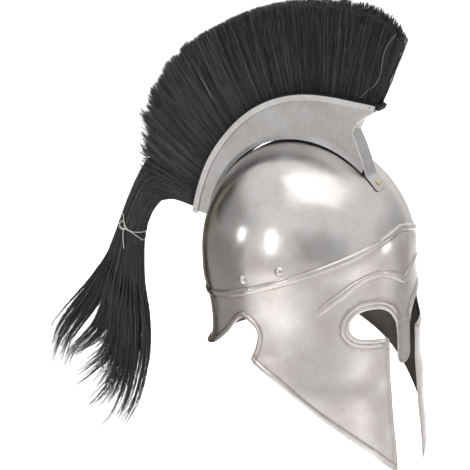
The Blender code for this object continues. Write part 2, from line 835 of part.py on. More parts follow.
def build_tail(finish):
    """Bundle from the rear of the crest, gathered by the string, its locks parted below."""
    count = len(TAIL_LOCKS)
    root_outer = polar(plume_rear_angle() + 0.3, block_height(CREST_REAR_ANGLE) + GAP)
    root_inner = polar(CREST_REAR_ANGLE, block_height(CREST_REAR_ANGLE) + GAP)
    sections = [(root_outer, root_inner, PLUME_BASE_WIDTH / 2)]
    for outer_reach, outer_drop, inner_reach, inner_drop, thick in TAIL_SECTIONS:
        outer = tail_point(outer_reach, outer_drop)
        inner = tail_point(inner_reach, inner_drop)
        sections.append((outer, inner, thick * TAIL_WIDTH / 2))
    locks = []
    for i, (bend_reach, bend_drop, tip_reach, tip_drop, joined_rows) in enumerate(TAIL_LOCKS):
        rows = []
        for outer, inner, half in sections:
            round_off = [
                half * max(0.35, math.sqrt(1 - abs(2 * (i + part / 3) / count - 1) ** 2.5))
                for part in range(4)
            ]
            rows.append((mix(outer, inner, i / count), mix(outer, inner, (i + 1) / count), round_off))
        left, right, thick = rows[-1]
        start = mix(left, right, 0.5)
        width = math.dist(left, right) / 2
        bend = tail_point(bend_reach, bend_drop)
        tip = tail_point(tip_reach, tip_drop)
        for row in range(1, LOCK_ROWS + 1):
            t = row / LOCK_ROWS
            centre = mix(mix(start, bend, t), mix(bend, tip, t), t)
            slope = mix(
                (bend[0] - start[0], bend[1] - start[1]), (tip[0] - bend[0], tip[1] - bend[1]), t)
            size = math.hypot(*slope)
            across = (-slope[1] / size, slope[0] / size)
            if across[0] * (right[0] - left[0]) + across[1] * (right[1] - left[1]) < 0:
                across = (-across[0], -across[1])
            half = width * (1 - t) ** 0.8 + TAIL_TIP_WIDTH / 2 * t
            taper = (1 - t) * 0.85 + 0.12
            rows.append((
                (centre[0] - across[0] * half, centre[1] - across[1] * half),
                (centre[0] + across[0] * half, centre[1] + across[1] * half),
                [value * taper for value in thick],
            ))
        locks.append(rows)
    joined = [len(sections) - 1 + row[4] for row in TAIL_LOCKS]
    return lock_sheet("plume_tail", locks, joined, finish)


def build_tie(finish):
    """String round the gathered tail, drawn as one tube with its loose end hanging."""
    outer_reach, outer_drop, inner_reach, inner_drop, thick = TAIL_SECTIONS[TIE_SECTION]
    outer = tail_point(outer_reach, outer_drop)
    inner = tail_point(inner_reach, inner_drop)
    middle = mix(outer, inner, 0.5)
    clear = TIE_RADIUS + 4 * GAP
    half_across = math.dist(outer, inner) / 2 + clear
    half_thick = thick * TAIL_WIDTH / 2 + clear
    line = []
    steps = 20
    pitch = 3.2 * TIE_RADIUS
    for k in range(steps + 1):
        turn = math.radians(115.0 + 360.0 * k / steps)
        share = math.cos(turn)
        ahead = middle[0] + (inner[0] - outer[0]) / math.dist(outer, inner) * half_across * share
        drop = middle[1] + (inner[1] - outer[1]) / math.dist(outer, inner) * half_across * share
        drop += pitch * (k / steps - 0.5)
        line.append(place(ahead, half_thick * math.sin(turn), drop))
    loose = line[-1]
    for k in range(1, 4):
        line.append(loose + Vector((
            -1.6 * TIE_RADIUS,
            0.0,
            -TIE_LOOSE_END * k / 3,
        )))
    return new_object("tail_tie", tube("tail_tie", line, TIE_RADIUS, 6), finish)


def tube(name, line, radius, sides):
    loops = []
    side = None
    for k, point in enumerate(line):
        along = line[min(k + 1, len(line) - 1)] - line[max(k - 1, 0)]
        along.normalize()
        if side is None:
            side = along.orthogonal().normalized()
        side = (side - along * side.dot(along)).normalized()
        other = along.cross(side)
        loops.append([
            point + radius * (
                side * math.cos(math.tau * n / sides) + other * math.sin(math.tau * n / sides))
            for n in range(sides)
        ])
    return loft(name, loops)


def main():
    clear_scene()
    steel = material("polished_steel", (0.62, 0.60, 0.59), 1.0, 0.25)
    sheet = material("galvanised_sheet", (0.66, 0.66, 0.66), 1.0, 0.42)
    brass = material("brass", (0.80, 0.68, 0.38), 1.0, 0.30)
    hair = material("black_hair", (0.022, 0.020, 0.019), 0.0, 0.55)
    block = material("black_block", (0.015, 0.015, 0.015), 0.0, 0.70)
    string = material("white_string", (0.80, 0.79, 0.76), 0.0, 0.80)
    build_shell(steel)
    for name, side in (("right", 1), ("left", -1)):
        build_rivet("rivet_front_" + name, RIVET_FRONT_ANGLE, side, steel)
        build_rivet("rivet_rear_" + name, RIVET_REAR_ANGLE, side, steel)
        build_plate("crest_plate_" + name, side, sheet)
        build_pin("crest_pin_front_" + name, front_angle(1.0) + PIN_FRONT_INSET_ANGLE, side, sheet)
        build_pin("crest_pin_rear_" + name, CREST_REAR_ANGLE - PIN_REAR_INSET_ANGLE, side, sheet)
    build_channel(sheet)
    build_strap(sheet)
    build_screw(brass)
    build_block(block)
    build_plume(hair)
    build_tail(hair)
    build_tie(string)


main()
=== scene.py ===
# Looks of the greek helmet: polished steel bowl, crest box, black horsehair plume and tail, white string.
# Metres, +Z up. The helmet faces -Y and the wearer's right is -X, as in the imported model.

import math

import bmesh
import bpy
import numpy as np
from mathutils import Matrix, Vector, kdtree, noise
from mathutils.geometry import delaunay_2d_cdt


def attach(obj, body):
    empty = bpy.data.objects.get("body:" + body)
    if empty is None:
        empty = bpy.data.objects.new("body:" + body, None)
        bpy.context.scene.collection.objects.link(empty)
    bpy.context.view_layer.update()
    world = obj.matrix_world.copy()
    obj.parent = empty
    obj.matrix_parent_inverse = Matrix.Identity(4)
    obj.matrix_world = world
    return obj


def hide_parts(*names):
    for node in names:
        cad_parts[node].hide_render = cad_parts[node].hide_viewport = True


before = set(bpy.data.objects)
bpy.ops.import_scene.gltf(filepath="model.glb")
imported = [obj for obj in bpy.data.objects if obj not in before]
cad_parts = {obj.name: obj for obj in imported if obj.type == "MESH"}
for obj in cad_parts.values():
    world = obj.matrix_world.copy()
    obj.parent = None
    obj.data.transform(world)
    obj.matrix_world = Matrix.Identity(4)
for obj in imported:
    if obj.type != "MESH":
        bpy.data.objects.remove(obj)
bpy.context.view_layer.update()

# Bowl, as in the part's source
BOWL_LENGTH = 0.234
BOWL_WIDTH = 0.194
DOME_HEIGHT = 0.121
HELMET_HEIGHT = 0.329
WALL = 0.0012
FRONT_SETBACK = 0.004
RIDGE_FRONT_DROP = 0.076
RIDGE_REAR_DROP = 0.166
RIDGE_WIDTH = 0.0075
RIDGE_RAISE = 0.0018
BROW_DROP = 0.1175
BROW_WIDTH = 0.0080
BROW_RAISE = 0.0016
BROW_HALF_ANGLE = 56.0
NOSE_GUARD_WIDTH = 0.023
NOSE_GUARD_DROP = 0.2204
FACE_GAP = 0.0505
EYE_REACH = 0.066
EYE_TOP_DROP = 0.1523
EYE_BOTTOM_DROP = 0.185
RIVET_RADIUS = 0.0045
RIVET_HEIGHT = 0.0020
RIVET_ANGLES = {"front": 77.0, "rear": 103.5}
RIVET_OVER_RIDGE = 0.0130

# Crest box, as in the part's source
CREST_HEIGHT = 0.072
CREST_WIDTH = 0.0165
CREST_SHEET = 0.0010
CREST_REAR_ANGLE = 170.0
RIM_OVERRUN_ANGLE = 1.2
FOOT_REACH = 0.0030
FOOT_RISE = 0.0045
FOOT_LIFT = 0.0012
RIM_DEPTH = 0.0065
RIM_FLOOR_DEPTH = 0.0042
STRAP_FOOT_WIDTH = 0.0190
STRAP_THICKNESS = 0.0012
STRAP_END_ANGLE = 43.5
SCREW_ANGLE = 47.5
SCREW_RADIUS = 0.0030
SCREW_HEIGHT = 0.0016
PIN_RADIUS = 0.0009
PIN_HEIGHT = 0.0006
PIN_FRONT_INSET_ANGLE = 1.6
PIN_REAR_INSET_ANGLE = 0.6
GAP = 0.0003

# Plume and tail, as in the part's source
BLOCK_RISE = 0.0016
PLUME_HEIGHT = 0.158
PLUME_BASE_WIDTH = 0.0125
PLUME_TOP_WIDTH = 0.036
TAIL_BACK = 0.326
TAIL_DROP = 0.367
TAIL_ROOT_LENGTH = 0.0165
TAIL_WIDTH = 0.024

HALF_LENGTH = BOWL_LENGTH / 2
HALF_WIDTH = BOWL_WIDTH / 2
PLATE_OUTSIDE = CREST_WIDTH / 2
CHANNEL_INSIDE = PLATE_OUTSIDE + GAP
CHANNEL_OUTSIDE = CHANNEL_INSIDE + CREST_SHEET
EYE_HEIGHT = EYE_BOTTOM_DROP - EYE_TOP_DROP

# Sections of the bowl below the dome: share of the height, front and rear reach, half width, squareness.
SKIRT = (
    (0.00, 1.000, 1.000, 1.000, 2.00),
    (0.13, 1.000, 0.985, 0.990, 2.20),
    (0.25, 1.003, 0.910, 0.980, 2.35),
    (0.38, 1.010, 0.872, 0.995, 2.40),
    (0.45, 1.013, 0.885, 1.020, 2.35),
    (0.51, 1.017, 0.945, 1.040, 2.30),
    (0.60, 1.030, 0.950, 1.050, 2.38),
    (0.75, 1.055, 0.950, 1.008, 2.40),
    (0.87, 1.084, 0.950, 0.975, 2.42),
    (1.05, 1.107, 0.950, 0.948, 2.45),
)

# Brow line: angle from the front, drop as a share of the brow drop.
BROW = (
    (0.0, 1.115),
    (9.0, 1.035),
    (16.0, 1.000),
    (24.0, 1.010),
    (33.0, 1.068),
    (43.0, 1.180),
    (60.0, 1.350),
    (120.0, 1.450),
    (180.0, 1.520),
)

# Lower edge from the side: distance ahead (share of half the length), drop (share of the height).
NECK_EDGE = (
    (-1.20, 0.700),
    (-0.90, 0.683),
    (-0.63, 0.648),
    (-0.41, 0.589),
    (-0.24, 0.525),
    (-0.15, 0.521),
    (-0.04, 0.550),
    (-0.04, 0.594),
    (-0.085, 0.642),
)
CHEEK_EDGE = (
    (-0.06, 0.654),
    (0.25, 0.717),
    (0.58, 0.810),
    (0.90, 0.919),
    (1.04, 0.998),
)

# Eye opening: share of the way from the cheek's front edge to the eye's reach, share from its top to bottom.
EYE_EDGE = (
    (0.010, 1.16),
    (0.035, 1.075),
    (0.110, 1.045),
    (0.430, 1.00),
    (0.810, 0.92),
    (0.965, 0.75),
    (1.000, 0.53),
    (0.925, 0.24),
    (0.705, 0.04),
    (0.400, 0.02),
    (0.130, 0.11),
    (-0.100, 0.32),
    (-0.270, 0.62),
)

# Share of the eye's height from its bottom down to where its edge starts
EYE_START_BELOW = 0.16

# Height of the nose guard's round tip, as a share of the guard's width
NOSE_TIP_SHARE = 0.45

# Crest height over the bowl: angle from straight ahead, share of the crest height.
CREST_PROFILE = (
    (64.0, 1.000),
    (72.0, 0.862),
    (81.0, 0.768),
    (93.0, 0.688),
    (110.0, 0.574),
    (131.0, 0.432),
    (149.0, 0.360),
    (160.0, 0.330),
    (175.0, 0.326),
)

# Front end of the crest box: share of the crest height, angle from straight ahead.
CREST_FRONT = (
    (0.00, 55.5),
    (0.08, 56.5),
    (0.50, 68.9),
    (1.00, 64.2),
)

# Tips of the plume: share of the way from front to rear, angle, height as a share of the plume height.
PLUME_EDGE = (
    (0.00, 65.5, 0.955),
    (0.08, 72.5, 1.020),
    (0.25, 89.0, 0.945),
    (0.50, 113.0, 0.850),
    (0.75, 135.0, 0.785),
    (0.90, 149.0, 0.690),
    (1.00, 156.5, 0.590),
)

# Sections of the tail: outer and inner side as reach and drop shares, half thickness share.
TAIL_SECTIONS = (
    (0.500, 0.177, 0.492, 0.252, 0.70),
    (0.566, 0.140, 0.545, 0.253, 0.85),
    (0.610, 0.150, 0.586, 0.286, 0.92),
    (0.662, 0.232, 0.616, 0.334, 0.95),
    (0.708, 0.330, 0.628, 0.372, 0.90),
    (0.728, 0.385, 0.634, 0.430, 0.95),
    (0.760, 0.448, 0.632, 0.520, 1.00),
    (0.810, 0.520, 0.622, 0.610, 1.00),
    (0.880, 0.600, 0.618, 0.690, 0.95),
)
TIE_SECTION = 4

# Fineness of the steel sheet and the border bands pressed into it
DOMAIN_RADIUS = 0.105
SHEET_SPACING = 0.0038
EDGE_SPACING = 0.0017
BAND_FLANK = 0.0014
DENT_DEPTH = 0.00022
DENT_SIZE = 0.028


def table_value(table, column, key):
    """Smooth values of one column of a table at keys in its first column."""
    knots = np.array([row[0] for row in table])
    values = np.array([row[column] for row in table])
    key = np.clip(np.asarray(key, float), knots[0], knots[-1])
    index = np.clip(np.searchsorted(knots, key, side="right") - 1, 0, len(knots) - 2)
    before = np.maximum(index - 1, 0)
    beyond = np.minimum(index + 2, len(knots) - 1)
    span = knots[index + 1] - knots[index]
    slope_here = (values[index + 1] - values[before]) / (knots[index + 1] - knots[before])
    slope_after = (values[beyond] - values[index]) / (knots[beyond] - knots[index])
    t = (key - knots[index]) / span
    return (
        (2 * t ** 3 - 3 * t ** 2 + 1) * values[index]
        + (t ** 3 - 2 * t ** 2 + t) * span * slope_here
        + (3 * t ** 2 - 2 * t ** 3) * values[index + 1]
        + (t ** 3 - t ** 2) * span * slope_after
    )


def smooth_line(points, steps):
    """Points along a smooth curve through the given points, or along several such curves at once."""
    points = np.array(points, float)
    line = []
    for i in range(len(points) - 1):
        a, b = points[max(i - 1, 0)], points[i]
        c, d = points[i + 1], points[min(i + 2, len(points) - 1)]
        for t in np.arange(steps) / steps:
            line.append(0.5 * (
                2 * b
                + (c - a) * t
                + (2 * a - 5 * b + 4 * c - d) * t * t
                + (3 * b - a - 3 * c + d) * t ** 3
            ))
    line.append(points[-1])
    return np.array(line)


def ease(value):
    value = np.clip(value, 0.0, 1.0)
    return value * value * (3 - 2 * value)


def ridge_drop(angle):
    turn = np.abs(np.sin(np.radians(angle) / 2)) ** 1.25
    return RIDGE_FRONT_DROP + (RIDGE_REAR_DROP - RIDGE_FRONT_DROP) * turn


def brow_drop(angle):
    return BROW_DROP * table_value(BROW, 1, np.abs(angle))


def bowl(angle, drop):
    """Points of the bowl's outside at angles from the front, in degrees, and drops below the crown."""
    angle, drop = np.broadcast_arrays(np.asarray(angle, float), np.asarray(drop, float))
    in_dome = drop < DOME_HEIGHT
    dome = np.sqrt(np.clip(1 - (1 - drop / DOME_HEIGHT) ** 2, 1e-12, 1))
    share = (drop - DOME_HEIGHT) / (HELMET_HEIGHT - DOME_HEIGHT)
    front = HALF_LENGTH * np.where(in_dome, dome, table_value(SKIRT, 1, share))
    rear = HALF_LENGTH * np.where(in_dome, dome, table_value(SKIRT, 2, share))
    width = HALF_WIDTH * np.where(in_dome, dome, table_value(SKIRT, 3, share))
    c, s = np.cos(np.radians(angle)), np.sin(np.radians(angle))
    ahead = c >= 0
    power = np.where(in_dome | ~ahead, 2.0, table_value(SKIRT, 4, share))
    reach = np.where(ahead, front, rear)
    radius = (np.abs(c / reach) ** power + np.abs(s / width) ** power) ** (-1 / power)
    setback = FRONT_SETBACK * c * c * ease((drop - ridge_drop(angle)) / (10 * FRONT_SETBACK))
    radius = radius - np.where(ahead, setback, 0.0)
    return np.stack((-radius * s, -radius * c, WALL - drop), axis=-1)


def plan_from(angle, drop):
    """The sheet's plan is a flat map: across is round the bowl, down is along its profile."""
    drop = np.asarray(drop, float)
    dome = DOME_HEIGHT * np.arccos(np.clip(1 - drop / DOME_HEIGHT, -1, 1))
    below = DOME_HEIGHT * math.pi / 2 + drop - DOME_HEIGHT
    return np.stack((np.radians(angle) * DOMAIN_RADIUS, np.where(drop < DOME_HEIGHT, dome, below)), axis=-1)


def on_bowl(plan):
    turn = plan[:, 1] / DOME_HEIGHT
    dome = DOME_HEIGHT * (1 - np.cos(turn))
    below = DOME_HEIGHT * (1 + turn - math.pi / 2)
    return bowl(np.degrees(plan[:, 0] / DOMAIN_RADIUS), np.where(turn < math.pi / 2, dome, below))


def plan_slopes(plan, step=0.0001):
    across = on_bowl(plan + (step, 0)) - on_bowl(plan - (step, 0))
    down = on_bowl(plan + (0, step)) - on_bowl(plan - (0, step))
    return across / (2 * step), down / (2 * step)


def unit(vectors):
    return vectors / np.maximum(np.linalg.norm(vectors, axis=-1, keepdims=True), 1e-12)


def bowl_normals(plan):
    across, down = plan_slopes(plan)
    normal = unit(np.cross(across, down))
    outward = on_bowl(plan) - (0, 0, WALL - DOME_HEIGHT)
    return normal * np.sign((normal * outward).sum(-1, keepdims=True))


def angle_where(drop, coordinate, wanted, low, high):
    """Angles at which the bowl's point at each drop has the wanted coordinate, by bisection."""
    low = np.full(len(drop), float(low))
    high = np.full(len(drop), float(high))
    rising = bowl(high, drop)[:, coordinate] > bowl(low, drop)[:, coordinate]
    for _ in range(40):
        middle = (low + high) / 2
        over = bowl(middle, drop)[:, coordinate] > wanted
        go_low = over == rising
        high = np.where(go_low, middle, high)
        low = np.where(go_low, low, middle)
    return (low + high) / 2


def run_length(points):
    """Length along a line up to each of its points."""
    return np.concatenate(([0], np.cumsum(np.linalg.norm(np.diff(points, axis=0), axis=1))))


def points_at(at, length, line):
    return np.stack([np.interp(at, length, column) for column in line.T], axis=-1)


def resample(plan, spacing):
    """The line at even steps of its real length on the bowl."""
    length = run_length(on_bowl(plan))
    count = max(2, int(round(length[-1] / spacing)) + 1)
    return points_at(np.linspace(0, length[-1], count), length, plan)


def side_line(table, steps):
    """Plan of an edge drawn in the side view, where it meets the bowl."""
    line = smooth_line(table, steps)
    ahead, drop = line[:, 0] * HALF_LENGTH, line[:, 1] * HELMET_HEIGHT
    rear_reach = bowl(np.full(len(drop), 180.0), drop)[:, 1]
    keep = -ahead < rear_reach
    angle = angle_where(drop[keep], 1, -ahead[keep], 0.0, 180.0)
    return plan_from(angle, drop[keep])


def face_line(points):
    """Plan of an edge drawn in the front view as (right, drop) pairs."""
    points = np.array(points, float)
    angle = angle_where(points[:, 1], 0, -points[:, 0], 0.0, 80.0)
    return plan_from(angle, points[:, 1])


def cheek_line(start):
    """The cheek guard's lower edge from the ear to the gap between the cheek guards."""
    gap = FACE_GAP / 2
    cheek = np.concatenate((start, side_line(CHEEK_EDGE, 24)))
    right = -on_bowl(cheek)[:, 0]
    last = int(np.argmax(right < gap)) if (right < gap).any() else len(right) - 1
    share = (right[last - 1] - gap) / (right[last - 1] - right[last])
    tip = cheek[last - 1] + (cheek[last] - cheek[last - 1]) * share
    return np.concatenate((cheek[:last], tip[None]))


def front_line(tip):
    """The cheek guard's front edge, straight up from its tip to the eye opening."""
    tip_drop = tip[1] + DOME_HEIGHT * (1 - math.pi / 2)
    drops = np.linspace(tip_drop, EYE_BOTTOM_DROP + EYE_START_BELOW * EYE_HEIGHT, 40)
    front = face_line([(FACE_GAP / 2, drop) for drop in drops])
    front[0] = tip
    return front


def eye_opening():
    """The eye opening's edge in the front view, as (right, drop) pairs."""
    gap = FACE_GAP / 2
    return [
        (gap + across * (EYE_REACH - gap), EYE_TOP_DROP + down * EYE_HEIGHT)
        for across, down in smooth_line(EYE_EDGE, 14)
    ]


def nose_line(eye_end, eye_end_plan):
    """The nose guard's edge from the eye opening down to its round tip on the middle."""
    half = NOSE_GUARD_WIDTH / 2
    tip_height = NOSE_GUARD_WIDTH * NOSE_TIP_SHARE
    start = NOSE_GUARD_DROP - tip_height
    middle = (EYE_BOTTOM_DROP + start) / 2
    side = [eye_end, (half * 1.02, EYE_BOTTOM_DROP), (half, middle), (half * 1.04, start)]
    tip = [
        (half * 1.04 * math.cos(turn), start + tip_height * math.sin(turn))
        for turn in np.radians(np.linspace(6, 90, 16))
    ]
    line = face_line(list(smooth_line(side, 10)) + tip)
    line[0] = eye_end_plan
    line[-1, 0] = 0.0
    return line


def edge_lines():
    """The sheet's edges from the rear of the neck guard to the nose guard's tip, by name."""
    neck = side_line(NECK_EDGE, 24)
    neck = np.concatenate((np.array([[math.pi * DOMAIN_RADIUS, neck[0, 1]]]), neck))
    cheek = cheek_line(neck[-1:])
    front = front_line(cheek[-1])
    eye_points = eye_opening()
    eye = np.concatenate((front[-1:], face_line(eye_points)))
    nose = nose_line(eye_points[-1], eye[-1])
    return {"neck": neck, "cheek": cheek, "front": front, "eye": eye, "nose": nose}


def tree_of(points):
    tree = kdtree.KDTree(len(points))
    for index, point in enumerate(points):
        tree.insert(point, index)
    tree.balance()
    return tree


def nearest(points, line):
    """Distance from each point to the nearest point of a finely stepped line, and that point's place."""
    tree = tree_of(line)
    found = [tree.find(point) for point in points]
    return np.array([f[2] for f in found]), line[[f[1] for f in found]]


def rows_beside(plan, distances):
    """Rows of plan points at real distances beside a line, for even facets along it."""
    across, down = plan_slopes(plan)
    metric = np.stack((
        np.stack(((across * across).sum(-1), (across * down).sum(-1)), -1),
        np.stack(((across * down).sum(-1), (down * down).sum(-1)), -1),
    ), -2)
    along = np.gradient(plan, axis=0)
    turned = np.einsum("nij,nj->ni", metric, along)
    normal = np.stack((-turned[:, 1], turned[:, 0]), -1)
    size = np.sqrt(np.einsum("ni,nij,nj->n", normal, metric, normal))
    normal = normal / size[:, None]
    return [plan + normal * distance for distance in distances]


def inside(points, outline):
    """Which plan points lie inside a closed outline."""
    result = np.zeros(len(points), bool)
    x, y = points[:, 0], points[:, 1]
    for a, b in zip(outline, np.roll(outline, -1, axis=0)):
        crosses = (a[1] > y) != (b[1] > y)
        if a[1] != b[1]:
            result ^= crosses & (x < (b[0] - a[0]) * (y - a[1]) / (b[1] - a[1]) + a[0])
    return result


def ridge_line(count):
    angle = np.linspace(0.0, 180.0, count)
    return plan_from(angle, ridge_drop(angle))


def brow_line(count):
    angle = np.linspace(0.0, BROW_HALF_ANGLE, count)
    return plan_from(angle, brow_drop(angle))


RIDGE_ROWS = np.array((-1.4, -1.0, -0.86, -0.72, -0.56, -0.3, 0.0, 0.3, 0.56, 0.72, 0.86, 1.0, 1.4)) / 2
EDGE_ROWS = {
    "neck": (0.0005, 0.0011, 0.0020, 0.0032, 0.0042, 0.0049, 0.0056, 0.0065, 0.0080),
    "cheek": (0.0005, 0.0011, 0.0020, 0.0032, 0.0045, 0.0052, 0.0059, 0.0068, 0.0082),
    "front": (0.0005, 0.0011, 0.0018, 0.0026, 0.0034, 0.0042),
    "eye": (
        0.0005, 0.0011, 0.0018, 0.0026, 0.0033, 0.0039, 0.0044, 0.0049, 0.0056, 0.0063, 0.0070, 0.0077,
        0.0084, 0.0092),
    "nose": (0.0005, 0.0011, 0.0018, 0.0026),
}

# Points nearer than this to earlier ones are left out: beside edges, beside the raised lines, in the grid
EDGE_CLOSE = 0.00042
CLOSE = 0.0009
GRID_CLOSE = 1.9 * CLOSE

# Fine steps along a line for measuring distances to it
FINE_STEP = 0.0003
OUTLINE_STEP = 0.0004


def middle_column(x, end):
    """Plan points down the sheet's rear or front middle, with rows across the raised lines."""
    angle = math.degrees(x / DOMAIN_RADIUS)
    marks = plan_from([angle], [ridge_drop(angle)])[0, 1] + RIDGE_WIDTH * RIDGE_ROWS
    if x == 0.0:
        brow = plan_from([0.0], [brow_drop(0.0)])[0, 1]
        marks = np.concatenate((marks, brow + BROW_WIDTH * RIDGE_ROWS))
    downs = np.arange(2 * SHEET_SPACING, end - 0.6 * SHEET_SPACING, SHEET_SPACING)
    downs = [down for down in downs if np.abs(down - marks).min() > CLOSE]
    downs = np.sort(np.concatenate((downs, marks)))
    return np.stack((np.full(len(downs), x), downs), -1)


def rows_inside(edges, outline):
    """For each edge, rows of plan points beside it on the sheet's side that keep clear of other edges."""
    fine_outline = on_bowl(np.concatenate([resample(line, OUTLINE_STEP) for line in edge_lines().values()]))
    result = []
    for name, line in edges.items():
        distances = np.array(EDGE_ROWS[name])
        rows = rows_beside(line, distances)
        if not inside(rows[1][len(line) // 2:][:1], outline)[0]:
            rows = rows_beside(line, -distances)
        result.append(np.concatenate([
            row[nearest(on_bowl(row), fine_outline)[0] > 0.82 * distance]
            for row, distance in zip(rows, distances)
        ]))
    return result


def sheet_plan():
    """Plan points of the right half of the sheet and the triangles between them."""
    edges = {name: resample(line, EDGE_SPACING) for name, line in edge_lines().items()}
    far = math.pi * DOMAIN_RADIUS
    columns = int(round(far / SHEET_SPACING))
    crown = np.stack((np.linspace(0, far, columns + 1), np.full(columns + 1, SHEET_SPACING)), -1)
    rear, front = middle_column(far, edges["neck"][0, 1]), middle_column(0.0, edges["nose"][-1, 1])
    order = [crown, rear, edges["neck"]] + [edges[name][1:] for name in ("cheek", "front", "eye", "nose")]
    outline = np.concatenate(order + [front[::-1]])
    groups = [(EDGE_CLOSE, rows) for rows in rows_inside(edges, outline)[::-1]]
    for line, width in ((ridge_line(170), RIDGE_WIDTH), (brow_line(52), BROW_WIDTH)):
        groups.append((CLOSE, np.concatenate(rows_beside(line, RIDGE_ROWS * width))))
    downs = np.arange(2 * SHEET_SPACING, outline[:, 1].max(), SHEET_SPACING)
    groups.append((GRID_CLOSE, np.array([
        ((k + 0.5 * (row % 2)) * far / columns, down)
        for row, down in enumerate(downs) for k in range(columns + 1)
    ])))
    kept = [outline]
    for close, group in groups:
        group = group[inside(group, outline)]
        group = group[(group[:, 0] > 0.0006) & (group[:, 0] < far - 0.0006)]
        taken = tree_of([Vector((*p, 0)) for p in np.concatenate(kept)])
        kept.append(np.array([p for p in group if taken.find((*p, 0))[2] > close]).reshape(-1, 2))
    points = [Vector(p) for p in np.concatenate(kept)]
    made = delaunay_2d_cdt(points, [], [list(range(len(outline)))], 1, 1e-7)
    return np.array([tuple(p) for p in made[0]]), [tuple(f) for f in made[2]]


# Border bands beside the edges: width, height, how dark the crease beside them is.
BORDERS = {
    "neck": (0.0056, 0.0010, 0.9),
    "cheek": (0.0060, 0.0009, 1.0),
    "front": (0.0036, 0.00035, 0.4),
    "nose": (0.0020, 0.0003, 0.3),
}


# Slope beside the ridge and the brow line
RIDGE_FLANK = 0.0017
BROW_FLANK = 0.0019

# Where borders fade out: distance ahead on the cheek guard, drop on the nose guard
CHEEK_BAND_END = (0.104, 0.116)
NOSE_BAND_END = (0.206, 0.214)

# The eye's border: an inner band and an outer rib at a distance from the edge. Each is width, slope, height.
EYE_BAND = (0.0043, 0.0013, 0.00085)
EYE_RIB_PLACE = 0.0066
EYE_RIB = (0.0042, 0.0016, 0.00095)

# Where both end beside the nose guard: a drop, or a range of drops, and a distance from the mid-plane
EYE_RIB_TOP_END = (0.158, 0.170)
EYE_RIB_TOP_RIGHT = 0.028
EYE_RIB_LOW_END = 0.178
EYE_RIB_LOW_RIGHT = 0.036
EYE_BAND_LOW_END = 0.18
EYE_BAND_LOW_RIGHT = 0.030


def band(distance, width, flank=BAND_FLANK):
    """Height of a pressed border band beside an edge, from 0 to 1, its rim slightly rounded over."""
    lip = 0.45 + 0.55 * ease(distance / flank)
    return lip * (1 - ease((distance - width + flank) / flank))


def rib(distance, width, flank):
    """Height of a raised rib about a line, from 0 to 1."""
    return 1 - ease((distance - width / 2 + flank) / flank)


def fade_between(value, start, end):
    return ease((value - start) / (end - start))


def brow_fade(plan):
    return ease((BROW_HALF_ANGLE - np.degrees(plan[:, 0] / DOMAIN_RADIUS)) / 12.0)


def line_distances(plan):
    """Distances from plan points to the ridge, the brow line and each edge, and the nearest places there."""
    points = on_bowl(plan)
    lines = {"ridge": ridge_line(900), "brow": brow_line(400), **edge_lines()}
    return {name: nearest(points, on_bowl(resample(line, FINE_STEP))) for name, line in lines.items()}


def raised_height(plan, found):
    """How far the sheet stands out of the plain bowl: ridge, brow and the borders of the openings."""
    height = RIDGE_RAISE * rib(found["ridge"][0], RIDGE_WIDTH, RIDGE_FLANK)
    brow = BROW_RAISE * brow_fade(plan) * rib(found["brow"][0], BROW_WIDTH, BROW_FLANK)
    height = np.maximum(height, brow)
    borders = np.zeros(len(plan))
    for name, (width, raise_by, _) in BORDERS.items():
        distance, at = found[name]
        shape = band(distance, width)
        if name == "cheek":
            shape = shape * (1 - fade_between(-at[:, 1], *CHEEK_BAND_END))
        if name == "nose":
            shape = shape * (1 - fade_between(-at[:, 2], *NOSE_BAND_END))
        borders = np.maximum(borders, raise_by * shape)
    distance, at = found["eye"]
    down, right = -at[:, 2], -at[:, 0]
    top_end = 1 - fade_between(down, *EYE_RIB_TOP_END) * (right < EYE_RIB_TOP_RIGHT)
    low_end = 1 - fade_between(EYE_RIB_LOW_RIGHT - right, 0.0, 0.006) * (down > EYE_RIB_LOW_END)
    inner_end = 1 - fade_between(EYE_BAND_LOW_RIGHT - right, 0.0, 0.004) * (down > EYE_BAND_LOW_END)
    width, flank, raise_by = EYE_BAND
    borders = np.maximum(borders, raise_by * band(distance, width, flank) * inner_end)
    width, flank, raise_by = EYE_RIB
    outer = rib(np.abs(distance - EYE_RIB_PLACE), width, flank)
    borders = np.maximum(borders, raise_by * outer * top_end * low_end)
    return np.maximum(height, borders)


def line_mask(distance, place, reach=0.0007):
    """1 on a thin line that runs at a distance from an edge, 0 away from it."""
    return np.exp(-((distance - place) / reach) ** 2)


def wear(plan, found):
    """Grime in the creases beside the raised lines, and rubbed bright tops, both from 0 to 1."""
    fade = brow_fade(plan)
    ridge, brow = found["ridge"][0], found["brow"][0]
    grime = 0.75 * line_mask(ridge, RIDGE_WIDTH / 2 + 0.0004)
    grime = np.maximum(grime, 0.7 * fade * line_mask(brow, BROW_WIDTH / 2 + 0.0004))
    rubbed = line_mask(ridge, RIDGE_WIDTH * 0.3, 0.0008)
    rubbed = np.maximum(rubbed, fade * line_mask(brow, BROW_WIDTH * 0.3, 0.0008))
    for name, (width, _, dark) in BORDERS.items():
        distance = found[name][0]
        grime = np.maximum(grime, dark * line_mask(distance, width + 0.0002))
        rubbed = np.maximum(rubbed, dark * line_mask(distance, 0.0011))
        rubbed = np.maximum(rubbed, 0.8 * dark * line_mask(distance, width - 0.0014, 0.0006))
    distance = found["eye"][0]
    grime = np.maximum(grime, 0.9 * line_mask(distance, 0.0045, 0.0005))
    grime = np.maximum(grime, 0.7 * line_mask(distance, 0.0089))
    rubbed = np.maximum(rubbed, line_mask(distance, 0.0009))
    return grime, np.maximum(rubbed, line_mask(distance, EYE_RIB_PLACE, 0.0009))


